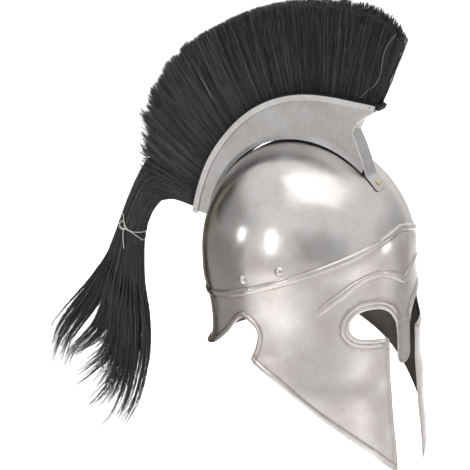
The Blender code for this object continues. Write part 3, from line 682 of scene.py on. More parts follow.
def dents(points):
    """Slight unevenness of hand-formed sheet."""
    return np.array([
        DENT_DEPTH * noise.noise(Vector(p) / DENT_SIZE)
        + 0.4 * DENT_DEPTH * noise.noise(Vector(p) / (0.4 * DENT_SIZE) + Vector((7, 3, 5)))
        for p in points
    ])


def linked(name, data):
    """A new object of the scene that holds the given data."""
    made = bpy.data.objects.new(name, data)
    bpy.context.scene.collection.objects.link(made)
    return made


def mesh_object(name, points, faces, materials, face_materials=None):
    data = bpy.data.meshes.new(name)
    data.from_pydata([tuple(p) for p in points], [], faces)
    for finish in materials:
        data.materials.append(finish)
    if face_materials is not None:
        data.polygons.foreach_set("material_index", face_materials)
    data.shade_smooth()
    data.update()
    return linked(name, data)


def turned_out(points, tris, outward):
    """The triangles with their corners in the order that makes them face outward."""
    a, b, c = tris.T
    flipped = (np.cross(points[b] - points[a], points[c] - points[a]) * outward).sum(-1) < 0
    return np.stack((a, np.where(flipped, c, b), np.where(flipped, b, c)), -1)


def mesh_normals(points, tris):
    sheet = bpy.data.meshes.new("plain")
    sheet.from_pydata([tuple(p) for p in points], [], tris.tolist())
    normal = np.zeros(len(points) * 3)
    sheet.vertices.foreach_get("normal", normal)
    bpy.data.meshes.remove(sheet)
    return normal.reshape(-1, 3)


# Satin beside the crest: how strong, how far from the mid-plane, its lowest height, the length it fades over
SATIN_BESIDE_CREST = 1.6
SATIN_REACH = 0.062
SATIN_LOWEST = -0.075
SATIN_FADE = 0.03


def satin_share(plan, base):
    """0 on the mirror-like dome, 1 below the ridge, and more beside the crest."""
    below = ease((-ridge_drop(np.degrees(plan[:, 0] / DOMAIN_RADIUS)) - base[:, 2]) / 0.01)
    beside = SATIN_BESIDE_CREST * ease((SATIN_REACH - np.abs(base[:, 0])) / SATIN_FADE)
    return below + beside * ease((base[:, 2] - SATIN_LOWEST) / SATIN_FADE)


def build_shell(outside, within):
    """The right half of the sheet, its mirror image, and a fan of triangles over the crown."""
    plan, triangles = sheet_plan()
    base, normals, found = on_bowl(plan), bowl_normals(plan), line_distances(plan)
    half = base + normals * raised_height(plan, found)[:, None]
    on_middle = (plan[:, 0] < 1e-6) | (plan[:, 0] > math.pi * DOMAIN_RADIUS - 1e-6)
    half[on_middle, 0] = 0.0
    extra = np.nonzero(~on_middle)[0]
    mirror = np.arange(len(half))
    mirror[extra] = len(half) + np.arange(len(extra))
    points = np.concatenate((half, half[extra] * (-1, 1, 1), [(0.0, 0.0, WALL)]))
    crown = len(points) - 1
    tris = np.array(triangles)
    tris = turned_out(half, tris, normals[tris[:, 0]])
    top_ring = np.nonzero(np.abs(plan[:, 1] - SHEET_SPACING) < 1e-6)[0]
    top_ring = top_ring[np.argsort(plan[top_ring, 0])]
    cap = []
    for one, two in zip(top_ring[:-1], top_ring[1:]):
        cap += [(crown, one, two), (crown, mirror[two], mirror[one])]
    cap = np.array(cap)
    facing = np.cross(points[cap[:, 1]] - points[cap[:, 0]], points[cap[:, 2]] - points[cap[:, 0]])
    cap[facing[:, 2] < 0] = cap[facing[:, 2] < 0][:, ::-1]
    tris = np.concatenate((tris, mirror[tris][:, ::-1], cap))
    normal = mesh_normals(points, tris)
    points = points + normal * dents(points)[:, None]
    marks = dict(zip(("grime", "rubbed"), wear(plan, found)), satin=satin_share(plan, base))
    marks = {name: np.concatenate((values, values[extra], [0.0])) for name, values in marks.items()}
    return close_sheet("helmet_steel", points, normal, tris, WALL, (outside, within), marks)


def close_sheet(name, points, normal, tris, thickness, materials, marks_at):
    """A sheet's outside, its inside a wall's thickness under it, and a rounded rim along its edges."""
    count = len(points)
    used = {}
    for tri in tris.tolist():
        for one, two in zip(tri, tri[1:] + tri[:1]):
            used[(one, two)] = True
    open_edges = [(one, two) for one, two in used if (two, one) not in used]
    after = dict(open_edges)
    before = {two: one for one, two in open_edges}
    rim = sorted(after)
    place = {vertex: count + k for k, vertex in enumerate(rim)}
    along = np.array([points[after[v]] - points[before[v]] for v in rim])
    outward = unit(np.cross(along, normal[rim]))
    middle = points[rim] + outward * thickness * 0.35 - normal[rim] * thickness / 2
    inner = points - normal * thickness
    inner_start = count + len(rim)
    faces = tris.tolist()
    marks = [0] * len(faces)
    for one, two in open_edges:
        faces.append([two, one, place[one], place[two]])
        faces.append([place[two], place[one], inner_start + one, inner_start + two])
        marks += [0, 0]
    for tri in tris.tolist():
        faces.append([inner_start + v for v in reversed(tri)])
        marks.append(1)
    everything = np.concatenate((points, middle, inner))
    made = mesh_object(name, everything, faces, materials, marks)
    for label, values in marks_at.items():
        spread = made.data.attributes.new(label, "FLOAT", "POINT")
        spread.data.foreach_set("value", np.concatenate((values, values[rim], values)))
    return made


# Crest box

CREST_STATIONS = 96
PLATE_EDGE = 0.0003
RIM_EDGE = 0.00028
STRAP_EDGE = 0.00025
PLATE_BEND = 0.08
LEAST_PLATE = 0.0005

# Strap: rounding and steps of its line, where it starts to widen and over what length, its narrowed end
STRAP_CORNER = 0.0014
STRAP_STEP = 0.0009
STRAP_WIDENS_AT = 0.024
STRAP_WIDENING = 0.034
STRAP_END_CUT = 0.0022
STRAP_END_LENGTH = 0.0026

# Slot of the screw
SLOT_WIDTH = 0.0008
SLOT_TURN = 28.0


def place(ahead, right, drop):
    return np.array((-right, -ahead, WALL - drop))


def dome_radius(angle, right=0.0):
    """Distance from the middle of the dome's foot to the bowl, in a plane beside the mid-plane."""
    turn = math.radians(angle)
    within = math.sqrt(1 - (right / HALF_WIDTH) ** 2)
    return within / math.hypot(math.cos(turn) / HALF_LENGTH, math.sin(turn) / DOME_HEIGHT)


def crest_point(angle, height, right):
    """Points over the bowl: an angle up from straight ahead and a height over the mid-plane profile."""
    turn = np.radians(angle)
    radius = 1 / np.hypot(np.cos(turn) / HALF_LENGTH, np.sin(turn) / DOME_HEIGHT) + height
    return np.stack((-right, -radius * np.cos(turn), WALL - DOME_HEIGHT + radius * np.sin(turn)), -1)


def crest_height(angle):
    return CREST_HEIGHT * table_value(CREST_PROFILE, 1, angle)


def front_angle(share):
    return float(table_value(CREST_FRONT, 1, share))


def grid_faces(rows, columns, closed=False):
    faces = []
    for row in range(rows - 1):
        for column in range(columns if closed else columns - 1):
            a = row * columns + column
            b = row * columns + (column + 1) % columns
            faces.append((a, b, b + columns, a + columns))
    return faces


def loft(name, loops, materials, smooth_angle):
    """Closed skin through loops of points with equal counts, with flat ends."""
    columns = len(loops[0])
    faces = grid_faces(len(loops), columns, True)
    start = (len(loops) - 1) * columns
    faces += [tuple(range(columns - 1, -1, -1)), tuple(start + k for k in range(columns))]
    made = mesh_object(name, [p for loop in loops for p in loop], faces, materials)
    face_outward(made)
    made.data.set_sharp_from_angle(angle=math.radians(smooth_angle))
    return made


def face_outward(made):
    shape = bmesh.new()
    shape.from_mesh(made.data)
    bmesh.ops.remove_doubles(shape, verts=shape.verts, dist=1e-7)
    bmesh.ops.recalc_face_normals(shape, faces=shape.faces)
    shape.to_mesh(made.data)
    shape.free()


def round_edges(made, width):
    step = made.modifiers.new("rounded edges", "BEVEL")
    step.width = width
    step.segments = 2
    step.limit_method = "ANGLE"
    step.angle_limit = math.radians(35)
    return made


PLATE_ROWS = (0.0, 0.02, 0.04, 0.06, 0.08, 0.11, 0.16, 0.3, 0.5, 0.7, 0.9, 1.0)


def plate_row(share, up):
    """Angle, height and distance from the mid-plane of the plate's inner face, its foot flared out."""
    within = PLATE_OUTSIDE - CREST_SHEET
    angle = front_angle(up) + (CREST_REAR_ANGLE - front_angle(up)) * share
    lift = 2 * GAP + FOOT_LIFT * math.sin(math.pi * share)
    if up < PLATE_BEND:
        flare = 1 - up / PLATE_BEND
        right = within + FOOT_REACH * flare ** 1.5
        sunk = dome_radius(angle) - dome_radius(angle, within + FOOT_REACH + CREST_SHEET)
        low = lift - sunk + CREST_SHEET / 2
        return angle, low + (lift + FOOT_RISE - low) * (1 - flare), right
    top = crest_height(angle) - RIM_FLOOR_DEPTH - CREST_SHEET - GAP
    low = lift + FOOT_RISE
    height = low + (max(top, low + LEAST_PLATE) - low) * (up - PLATE_BEND) / (1 - PLATE_BEND)
    return angle, height, within


def build_plate(name, side, finish):
    points = []
    for k in range(CREST_STATIONS + 1):
        for up in PLATE_ROWS:
            angle, height, right = plate_row(k / CREST_STATIONS, up)
            points.append(crest_point(angle, height, side * right))
    columns = len(PLATE_ROWS)
    made = mesh_object(name, points, grid_faces(CREST_STATIONS + 1, columns), [finish])
    outward = sum(face.normal.x * face.area for face in made.data.polygons)
    if outward * -side < 0:
        made.data.flip_normals()
    solid = made.modifiers.new("sheet", "SOLIDIFY")
    solid.thickness = CREST_SHEET
    solid.offset = 1.0
    solid.use_even_offset = True
    made.data.set_sharp_from_angle(angle=math.radians(50))
    return round_edges(made, PLATE_EDGE)


def rim_angles(stations):
    start = front_angle(1.0)
    span = CREST_REAR_ANGLE + RIM_OVERRUN_ANGLE - start
    return [start + span * k / stations for k in range(stations + 1)]


def build_channel(finish):
    outside, within, floor = CHANNEL_OUTSIDE, CHANNEL_INSIDE, -RIM_FLOOR_DEPTH
    profile = (
        (outside, -RIM_DEPTH), (outside, 0.0), (within, 0.0), (within, floor),
        (-within, floor), (-within, 0.0), (-outside, 0.0), (-outside, -RIM_DEPTH),
        (-within, -RIM_DEPTH), (-within, floor - CREST_SHEET),
        (within, floor - CREST_SHEET), (within, -RIM_DEPTH),
    )
    loops = []
    for angle in rim_angles(CREST_STATIONS):
        height = crest_height(angle)
        loops.append([crest_point(angle, height + rise, right) for right, rise in profile])
    made = loft("crest_rim", loops, [finish], 40)
    return round_edges(made, RIM_EDGE)


def strap_line():
    """Mid-plane line of the strap as ahead and drop pairs, down the plates' front edge and onto the bowl."""
    line = []
    for up in (0.98, 0.9, 0.7, 0.5, 0.3, 0.16, 0.11):
        angle, height, _ = plate_row(0.0, up)
        point = crest_point(angle, height, 0.0)
        line.append((-point[1] + STRAP_THICKNESS / 2 + GAP, WALL - point[2]))
    for k in range(4):
        angle = front_angle(0.0) - 3.0 + (STRAP_END_ANGLE + 3.0 - front_angle(0.0)) * k / 3
        point = crest_point(angle, STRAP_THICKNESS / 2 + 2 * GAP, 0.0)
        line.append((-point[1], WALL - point[2]))
    return np.array(line)


def soften(line, corner, steps):
    """Rounds each inner corner of a polyline over a length on both sides."""
    result = [line[0]]
    for before, here, after in zip(line[:-2], line[1:-1], line[2:]):
        to_before, to_after = before - here, after - here
        a = here + to_before * min(0.45, corner / np.linalg.norm(to_before))
        b = here + to_after * min(0.45, corner / np.linalg.norm(to_after))
        for t in np.linspace(0, 1, steps):
            result.append((1 - t) ** 2 * a + 2 * t * (1 - t) * here + t * t * b)
    result.append(line[-1])
    return np.array(result)


def build_strap(finish, side_highlight):
    line = soften(strap_line(), STRAP_CORNER, 5)
    line = resample_plane(line, STRAP_STEP)
    along = unit(np.gradient(line, axis=0))
    length = np.linspace(0, 1, len(line))
    total = run_length(line)[-1]
    loops = []
    for k, (point, step) in enumerate(zip(line, along)):
        out = np.array((step[1], -step[0])) * STRAP_THICKNESS / 2
        wide = ease((length[k] * total - STRAP_WIDENS_AT) / STRAP_WIDENING)
        half = PLATE_OUTSIDE + (STRAP_FOOT_WIDTH / 2 - PLATE_OUTSIDE) * wide
        from_end = (1 - length[k]) * total
        half -= STRAP_END_CUT * (1 - min(1.0, from_end / STRAP_END_LENGTH))
        loops.append([
            place(point[0] + out[0], half, point[1] + out[1]),
            place(point[0] + out[0], -half, point[1] + out[1]),
            place(point[0] - out[0], -half, point[1] - out[1]),
            place(point[0] - out[0], half, point[1] - out[1]),
        ])
    made = loft("crest_strip", loops, [finish, side_highlight], 40)
    # The strap's sides, facing across, take the palest side finish: a painted highlight on its folded edges.
    for face in made.data.polygons:
        face.material_index = int(abs(face.normal.x) > 0.7)
    return round_edges(made, STRAP_EDGE)


def resample_plane(line, spacing):
    length = run_length(line)
    return points_at(np.linspace(0, length[-1], max(2, int(length[-1] / spacing))), length, line)


def turned_head(name, seat, out, profile, finish, sides=28):
    """A head turned about its axis from (radius, height) pairs, on a seat point."""
    turn = Vector(out).to_track_quat("Z", "Y").to_matrix()
    loops = []
    for radius, height in profile:
        loops.append([
            Vector(seat) + turn @ Vector((
                radius * math.cos(math.tau * k / sides), radius * math.sin(math.tau * k / sides), height))
            for k in range(sides)
        ])
    return loft(name, loops, [finish], 50)


def build_rivet(name, angle, side, finish):
    drop = float(ridge_drop(angle)) - RIVET_OVER_RIDGE
    plan = plan_from([angle], [drop])
    centre, out = on_bowl(plan)[0], bowl_normals(plan)[0]
    if side < 0:
        centre, out = centre * (-1, 1, 1), out * (-1, 1, 1)
    seat = RIVET_RADIUS ** 2 / BOWL_WIDTH + 2 * GAP
    profile = [(1.16 * RIVET_RADIUS, -0.9 * seat), (1.10 * RIVET_RADIUS, -0.3 * seat)]
    for share in np.linspace(0.10, 0.98, 9):
        turn = share * math.pi / 2
        profile.append((RIVET_RADIUS * math.cos(turn), RIVET_HEIGHT * 0.95 * math.sin(turn) ** 1.3))
    return turned_head(name, centre + out * seat, out, profile, finish)


def build_screw(finish):
    seat = crest_point(SCREW_ANGLE, STRAP_THICKNESS + 3 * GAP, 0.0)
    beyond = crest_point(SCREW_ANGLE, 2 * STRAP_THICKNESS + 3 * GAP, 0.0)
    out = unit(beyond - seat)
    r, h = SCREW_RADIUS, SCREW_HEIGHT
    profile = [(r * 0.96, 0.0), (r, 0.15 * h), (r, 0.42 * h), (r * 0.93, 0.62 * h), (r * 0.78, 0.86 * h)]
    profile += [(r * 0.55, 0.97 * h), (r * 0.2, h)]
    made = turned_head("brass_screw", seat, out, profile, finish, 32)
    turn = Vector(out).to_track_quat("Z", "Y").to_matrix().to_4x4()
    slot = bpy.data.meshes.new("slot")
    shape = bmesh.new()
    bmesh.ops.create_cube(shape, size=1.0)
    size = Matrix.Diagonal((3 * r, SLOT_WIDTH, h, 1.0))
    spun = Matrix.Rotation(math.radians(SLOT_TURN), 4, "Z")
    raised = Matrix.Translation(Vector(seat + out * h)) @ turn @ spun @ size
    bmesh.ops.transform(shape, matrix=raised, verts=shape.verts)
    shape.to_mesh(slot)
    shape.free()
    tool = linked("slot", slot)
    cut = made.modifiers.new("slot", "BOOLEAN")
    cut.object = tool
    cut.operation = "DIFFERENCE"
    cut.solver = "EXACT"
    apply_modifiers(made)
    bpy.data.objects.remove(tool, do_unlink=True)
    return made


def apply_modifiers(made):
    graph = bpy.context.evaluated_depsgraph_get()
    result = bpy.data.meshes.new_from_object(made.evaluated_get(graph))
    made.modifiers.clear()
    made.data = result


def build_pin(name, angle, side, finish):
    outside = CHANNEL_OUTSIDE + GAP
    seat = crest_point(angle, crest_height(angle) - RIM_DEPTH / 2, side * outside)
    r, h = PIN_RADIUS, PIN_HEIGHT
    profile = [(r, 0.0), (r, 0.4 * h), (0.8 * r, 0.85 * h), (0.35 * r, h)]
    return turned_head(name, seat, (-side, 0, 0), profile, finish, 16)


# Hair

HAIR_RADIUS = 0.00022
PLUME_PIECES = {"plume_hair_right": 1, "plume_hair_left": -1, "plume_hair_middle": 0}
PLUME_HAIRS = 6900
PLUME_TUFTS = 520
TUFT_STRETCH = 12.0
PLUME_LEVELS = (0.0, 0.35, 0.7, 0.96, 1.0)
PLUME_ROOT_SUNK = 0.0004
SHORT_HAIRS = 0.3
SHORT_LENGTHS = (0.75, 0.985)
TUFT_UNEVEN = 0.022
HAIR_UNEVEN = 0.006
WILD_UNEVEN = 0.035
HAIR_WAVE = 0.005
HAIR_SPREAD = 0.06
TUFT_LEAN = 1.3
HAIR_LEAN = 0.8
REAR_LEAN = 10
TAIL_PIECES = {"tail_hair_right": 1, "tail_hair_left": -1}
TAIL_HAIRS = 2700
TAIL_STEPS = 13
TAIL_JOINED = 8
CORE_SHARE = 0.86

# Wisps of the tail from the outer side in: share of the bundle where each starts, how far it opens, then
# points of its middle line as millimetres behind the bowl's middle and below the crown.
TAIL_WISPS = (
    (0.00, 1.0, (256, 182), (273, 209), (295, 235), (313, 261), (322, 282), (324, 300)),
    (0.07, 1.0, (253, 186), (268, 214), (289, 241), (307, 265), (318, 288), (321, 308)),
    (0.14, 0.6, (249, 190), (261, 216), (281, 243), (301, 269), (313, 290), (316, 318)),
    (0.22, 0.6, (245, 196), (251, 224), (266, 252), (282, 270), (299, 286), (309, 316)),
    (0.30, 1.0, (242, 202), (246, 230), (257, 256), (273, 271), (290, 284), (305, 301)),
    (0.37, 0.9, (239, 208), (242, 237), (250, 259), (263, 273), (281, 282), (298, 293)),
    (0.44, 1.1, (235, 213), (238, 242), (245, 269), (256, 288), (273, 303), (305, 328)),
    (0.52, 1.1, (232, 218), (234, 247), (240, 275), (249, 296), (261, 312), (277, 328)),
    (0.60, 1.1, (227, 221), (229, 251), (233, 277), (242, 305), (259, 327), (288, 355)),
    (0.68, 1.1, (222, 222), (225, 252), (228, 278), (235, 306), (249, 328), (266, 348)),
    (0.76, 0.9, (217, 223), (218, 253), (222, 282), (229, 313), (243, 345), (266, 367)),
    (0.84, 0.4, (212, 222), (212, 252), (215, 280), (221, 310), (229, 333), (239, 350)),
    (0.93, 0.1, (205, 216), (202, 241), (203, 270), (209, 299), (222, 336), (249, 371)),
)
ROOT_LEAD = (0.016, 0.010, 0.005)
WISP_LENGTH = 0.15
WISP_REACHES = (0.90, 1.12)
WISP_WIDTH = 0.0052
WISP_OPENING = 0.0100
WISP_FORKS = 5
WISP_FORK_SPREAD = 0.0040
WISP_HAIR_SPREAD = 0.0005
WISP_FORK_DEPTH = 0.0040
WISP_HAIR_DEPTH = 0.0012
WISP_STEPS = 30
HAIR_JITTER = 0.0004
TAIL_CROWDING = 1.4
WISP_LEVELS = (0.0, 0.25, 0.5, 0.75, 1.0)


def block_height(angle):
    return crest_height(angle) + BLOCK_RISE


def plume_rear_angle():
    radius = dome_radius(CREST_REAR_ANGLE) + block_height(CREST_REAR_ANGLE)
    return CREST_REAR_ANGLE - math.degrees(TAIL_ROOT_LENGTH / radius)


def strands(name, paths, radius, finish, random, tip_share=0.75, paler=0.0):
    """Three-sided pointed hairs as one mesh, from (hair, step, xyz) paths, each with its own tone."""
    hairs, steps, _ = paths.shape
    turn = random.uniform(0, math.tau, hairs)
    along = unit(np.gradient(paths, axis=1))
    side = unit(np.cross(along, np.array((1.0, 0.05, 0.02))))
    other = np.cross(along, side)
    taper = 1 - (1 - tip_share) * np.linspace(0, 1, steps)[None, :, None] ** 2
    wide = radius[:, None, None] * taper
    rings = []
    for corner in range(3):
        at = (turn + math.tau * corner / 3)[:, None, None]
        rings.append(paths + wide * (side * np.cos(at) + other * np.sin(at)))
    rings = np.stack(rings, 2)[:, :-1].reshape(hairs, -1, 3)
    points = np.concatenate((rings, paths[:, -1:]), 1).reshape(-1, 3)
    one = []
    for step in range(steps - 2):
        for corner in range(3):
            a, b = 3 * step + corner, 3 * step + (corner + 1) % 3
            one.append((a, b, b + 3, a + 3))
    tip, last = 3 * (steps - 1), 3 * (steps - 2)
    ends = [(last + corner, last + (corner + 1) % 3, tip) for corner in range(3)] + [(2, 1, 0)]
    start = np.arange(hairs)[:, None, None] * (tip + 1)
    faces = (np.array(one)[None] + start).reshape(-1, 4).tolist()
    faces += (np.array(ends)[None] + start).reshape(-1, 3).tolist()
    made = mesh_object(name, points, faces, [finish])
    tone = made.data.attributes.new("tone", "FLOAT", "POINT")
    own = np.minimum(random.uniform(0, 1, hairs) + paler, np.maximum(0.97, random.uniform(0, 1, hairs)))
    tone.data.foreach_set("value", np.repeat(own, tip + 1))
    return made


def plume_half_width(share, level):
    edge = np.minimum(share, 1 - share) * 8
    half = (PLUME_BASE_WIDTH + (PLUME_TOP_WIDTH - PLUME_BASE_WIDTH) * level ** 0.8) / 2
    return half * np.minimum(1.0, 0.55 + 0.45 * edge + (1 - level) * 0.45)


def plume_point(share, across, level, length, lean=0.0):
    """Point of the plume: share from front to rear, across from -1 to 1, level from root to tip."""
    start, rear = front_angle(1.0), plume_rear_angle()
    root = start + (rear - start) * share
    root_height = block_height(root) - PLUME_ROOT_SUNK
    tip = table_value(PLUME_EDGE, 1, share) + lean
    tip_height = PLUME_HEIGHT * table_value(PLUME_EDGE, 2, share) * length
    angle = root + (tip - root) * level
    height = root_height + (tip_height - root_height) * level
    return crest_point(angle, height, across * plume_half_width(share, level))


def nearest_tufts(share, across, tufts):
    """The tuft that each hair belongs to. A step along the plume counts more than one across it."""
    tree = tree_of([Vector((s * TUFT_STRETCH, a, 0)) for s, a in tufts])
    return np.array([tree.find((s * TUFT_STRETCH, a, 0))[1] for s, a in zip(share, across)])


def plume_lengths(rough, owner, random):
    """How far each hair reaches towards the plume's edge: tufts and hairs differ and some are short."""
    length = 1.0 + rough * TUFT_UNEVEN * random.normal(0, 1, PLUME_TUFTS)[owner]
    length = length + random.normal(0, HAIR_UNEVEN, PLUME_HAIRS) * (0.6 + rough)
    short = random.uniform(0, 1, PLUME_HAIRS) < SHORT_HAIRS
    return np.where(short, length * random.uniform(*SHORT_LENGTHS, PLUME_HAIRS), length)


def build_plume_hairs(name, side, finish, random):
    """A brush of hairs cut to one edge, gathered a little into tufts, rougher towards the rear and paler
    there as painted sheen.
    """
    share = random.uniform(0, 1, PLUME_HAIRS)
    across = random.uniform(0, 1, PLUME_HAIRS) ** 0.5 * side
    if side == 0:
        across = random.uniform(-0.8, 0.8, PLUME_HAIRS)
    tufts = np.stack((random.uniform(0, 1, PLUME_TUFTS), random.uniform(-1, 1, PLUME_TUFTS)), -1)
    owner = nearest_tufts(share, across, tufts)
    rough = 0.25 + 0.75 * ease((share - 0.5) / 0.3)
    length = plume_lengths(rough, owner, random)
    level = np.array(PLUME_LEVELS)[None]
    pull = (0.06 + 0.4 * rough[:, None]) * ease((level - 0.6) / 0.4)
    here = share[:, None] + (tufts[owner, :1] - share[:, None]) * pull
    wave = random.normal(0, HAIR_WAVE, (PLUME_HAIRS, 1)) * level ** 1.5
    here = np.clip(here + wave, 0, 1)
    beside = across[:, None] + (tufts[owner, 1:] - across[:, None]) * pull
    beside = beside + random.normal(0, HAIR_SPREAD, (PLUME_HAIRS, 1)) * level ** 1.5
    wild = ease((share - 0.72) / 0.25)
    lean = random.normal(0, TUFT_LEAN, PLUME_TUFTS)[owner] + random.normal(0, HAIR_LEAN, PLUME_HAIRS)
    lean = wild * lean + ease((share - 0.93) / 0.06) * random.uniform(0, REAR_LEAN, PLUME_HAIRS)
    length = length * (1 + WILD_UNEVEN * wild * random.normal(0, 1, PLUME_HAIRS))
    paths = plume_point(here, beside, level * np.ones((PLUME_HAIRS, 1)), length[:, None], lean[:, None])
    radius = HAIR_RADIUS * random.uniform(0.7, 1.25, PLUME_HAIRS)
    # Hairs grow paler towards the plume's rear: painted sheen.
    return strands(name, paths, radius, finish, random, paler=0.30 * ease((share - 0.25) / 0.5))


# A dark solid inside the plume: stands for the inner hairs, its extra darkness painted shade.
def build_plume_core(finish):
    levels = np.array((0.0, 0.2, 0.45, 0.7, 0.88))
    loops = []
    for share in np.linspace(0.012, 0.988, 60):
        up = plume_point(share, CORE_SHARE, levels, 1.0)
        down = plume_point(share, -CORE_SHARE, levels[::-1], 1.0)
        loops.append(np.concatenate((up, down)))
    return loft("plume_core", loops, [finish], 60)


def tail_point(reach, drop):
    return np.array((-reach * TAIL_BACK, drop * TAIL_DROP))


def polar(angle, height):
    point = crest_point(angle, height, 0.0)
    return np.array((-point[1], WALL - point[2]))


def tail_sections():
    """Outer side, inner side and half thickness of each section of the tail, the root first."""
    high = block_height(CREST_REAR_ANGLE) + GAP
    sections = [(polar(plume_rear_angle() + 0.3, high), polar(CREST_REAR_ANGLE, high), PLUME_BASE_WIDTH / 2)]
    for outer_reach, outer_drop, inner_reach, inner_drop, thick in TAIL_SECTIONS:
        sections.append((
            tail_point(outer_reach, outer_drop), tail_point(inner_reach, inner_drop), thick * TAIL_WIDTH / 2))
    return sections


def gathered_controls(share, rim, lead):
    """Control points of the tail's hairs where it is one bundle, from its root to where it forks."""
    controls = []
    for outer, inner, half in tail_sections()[:TAIL_JOINED]:
        flat = outer[None] + (inner - outer)[None] * share[:, None]
        round_off = half * np.maximum(0.35, np.sqrt(1 - np.abs(2 * share - 1) ** 2.5))
        if len(controls) < len(ROOT_LEAD):
            back = (outer - inner) / np.linalg.norm(outer - inner)
            flat = flat + back[None] * (ROOT_LEAD[len(controls)] * lead)[:, None]
        controls.append(np.concatenate((flat, (round_off * rim)[:, None]), 1))
    return controls


def along_wisps(wisp, gone):
    """Places on the wisps' middle lines, carried on straight past their ends, and the slopes there."""
    middles = np.array([row[2:] for row in TAIL_WISPS]) * (-1, 1) / 1000
    lines = even_steps(middles, WISP_STEPS)[wisp]
    slopes = unit(np.gradient(lines, axis=1))
    rows = np.arange(len(wisp))
    at = np.clip(gone * (WISP_STEPS - 1), 0, WISP_STEPS - 1.001)
    low = at.astype(int)
    rest = (at - low)[:, None]
    centre = lines[rows, low] * (1 - rest) + lines[rows, low + 1] * rest
    slope = slopes[rows, low]
    return centre + slope * (WISP_LENGTH * np.maximum(gone - 1, 0))[:, None], slope


def wisp_controls(share, thick, random):
    """Control points of the hairs over the tail's wisps. Each wisp forks, and each fork draws together."""
    starts = np.array([row[0] for row in TAIL_WISPS])
    wisp = np.searchsorted(starts, share, side="right") - 1
    ends = np.append(starts[1:], 1.0)
    place_in = (share - starts[wisp]) / (ends - starts)[wisp] * WISP_FORKS
    fork = np.minimum(place_in.astype(int), WISP_FORKS - 1)
    fork_middle = (fork + 0.5) / WISP_FORKS - 0.5
    within = (place_in - fork - 0.5) / WISP_FORKS
    opening = WISP_OPENING * np.array([row[1] for row in TAIL_WISPS])[wisp]
    bends = random.normal(0, 1, (len(TAIL_WISPS), WISP_FORKS, 2))[wisp, fork]
    fork_reach = random.uniform(*WISP_REACHES, (len(TAIL_WISPS), WISP_FORKS))[wisp, fork]
    reach = fork_reach * (0.34 + 0.66 * random.uniform(0, 1, TAIL_HAIRS) ** 1.5)
    own = random.normal(0, 1, (TAIL_HAIRS, 2))
    swing = bends * (WISP_FORK_SPREAD, WISP_FORK_DEPTH) + own * (WISP_HAIR_SPREAD, WISP_HAIR_DEPTH)
    steady = np.minimum(1.0, 0.3 + opening / WISP_OPENING)
    controls = []
    for t in WISP_LEVELS:
        gone = t * reach
        centre, slope = along_wisps(wisp, gone)
        normal = np.stack((slope[:, 1], -slope[:, 0]), 1)
        width = WISP_WIDTH + opening * gone
        apart = fork_middle * width * (1 - 0.35 * ease((gone - 0.4) / 0.6))
        apart = apart + within * width * (1.5 - 1.28 * ease((gone - 0.2) / 0.4))
        apart = apart + steady * gone ** 1.7 * swing[:, 0]
        flat = centre - normal * apart[:, None]
        deep = thick * (1 - 0.55 * gone) + gone * swing[:, 1]
        controls.append(np.concatenate((flat, deep[:, None]), 1))
    return controls


def build_tail_hairs(name, side, finish, random):
    """Hairs of the tail's near or far half: gathered down to the parting, then forked over the wisps."""
    share = random.uniform(0, 1, TAIL_HAIRS)
    rim = random.uniform(0, 1, TAIL_HAIRS) ** 0.5 * side
    lead = random.uniform(0, 1, TAIL_HAIRS) ** 1.5 * (1 - share) ** 0.7
    controls = gathered_controls(share, rim, lead)
    controls += wisp_controls(share, controls[-1][:, 2], random)
    controls = np.stack(controls, 1)
    along = np.linspace(0, 1, controls.shape[1])[None, :, None]
    jitter = random.normal(0, HAIR_JITTER, (TAIL_HAIRS, 1, 3)) * along
    paths = even_steps(controls + jitter, TAIL_STEPS, TAIL_CROWDING)
    paths = np.stack((-paths[..., 2], -paths[..., 0], WALL - paths[..., 1]), -1)
    radius = HAIR_RADIUS * random.uniform(0.6, 0.95, TAIL_HAIRS)
    return strands(name, paths, radius, finish, random, 0.8, paler=0.1)


def even_steps(controls, steps, crowding=1.0):
    """Each row of control points as a smooth line cut into steps, closer together near its start."""
    share = np.linspace(0, 1, steps) ** crowding
    result = []
    for line in smooth_line(controls.swapaxes(0, 1), 4).swapaxes(0, 1):
        length = run_length(line)
        result.append(points_at(length[-1] * share, length, line))
    return np.array(result)


# A dark solid inside the gathered tail: stands for the inner hairs, its extra darkness painted shade.
def build_tail_core(finish):
    loops = []
    for outer, inner, half in tail_sections()[:TAIL_JOINED]:
        middle, reach = (outer + inner) / 2, (inner - outer) / 2
        loop = []
        for turn in np.linspace(0, math.tau, 20, endpoint=False):
            flat = middle + reach * CORE_SHARE * math.cos(turn)
            loop.append(place(flat[0], half * CORE_SHARE * math.sin(turn), flat[1]))
        loops.append(loop)
    return loft("tail_core", loops, [finish], 60)


# Stray pale hairs that lie on the near side of the plume: millimetres ahead, right and up from the crown.
STRAY_RADIUS = 0.00019
STRAY_HAIRS = (
    ((113.8, 18.3, 137.0), (105.1, 17.2, 126.2), (98.1, 15.8, 113.8), (94.4, 14.2, 100.6),
     (91.2, 12.4, 87.5), (83.3, 10.6, 74.8), (72.1, 9.0, 65.8), (65.3, 7.8, 57.7)),
    ((-125.5, 15.0, 51.5), (-117.7, 14.0, 40.7), (-112.2, 13.0, 28.5)),
)


def build_stray_hairs(finish):
    parts = []
    for index, run in enumerate(STRAY_HAIRS):
        line = [place(ahead, right, -up) for ahead, right, up in smooth_line(run, 5) / 1000]
        parts.append(tube(f"stray_{index}", line, STRAY_RADIUS, 5, finish))
    return joined("stray_hairs", parts)


def tube(name, line, radius, sides, finish):
    loops = []
    side = None
    line = [Vector(p) for p in line]
    for k, point in enumerate(line):
        along = line[min(k + 1, len(line) - 1)] - line[max(k - 1, 0)]
        along.normalize()
        if side is None:
            side = along.orthogonal().normalized()
        side = (side - along * side.dot(along)).normalized()
        other = along.cross(side)
        loops.append([
            point + radius * (
                side * math.cos(math.tau * n / sides) + other * math.sin(math.tau * n / sides))
            for n in range(sides)
        ])
    return loft(name, loops, [finish], 60)


STRING_RADIUS = 0.00042
STRING_KNOT_RADIUS = 0.0011

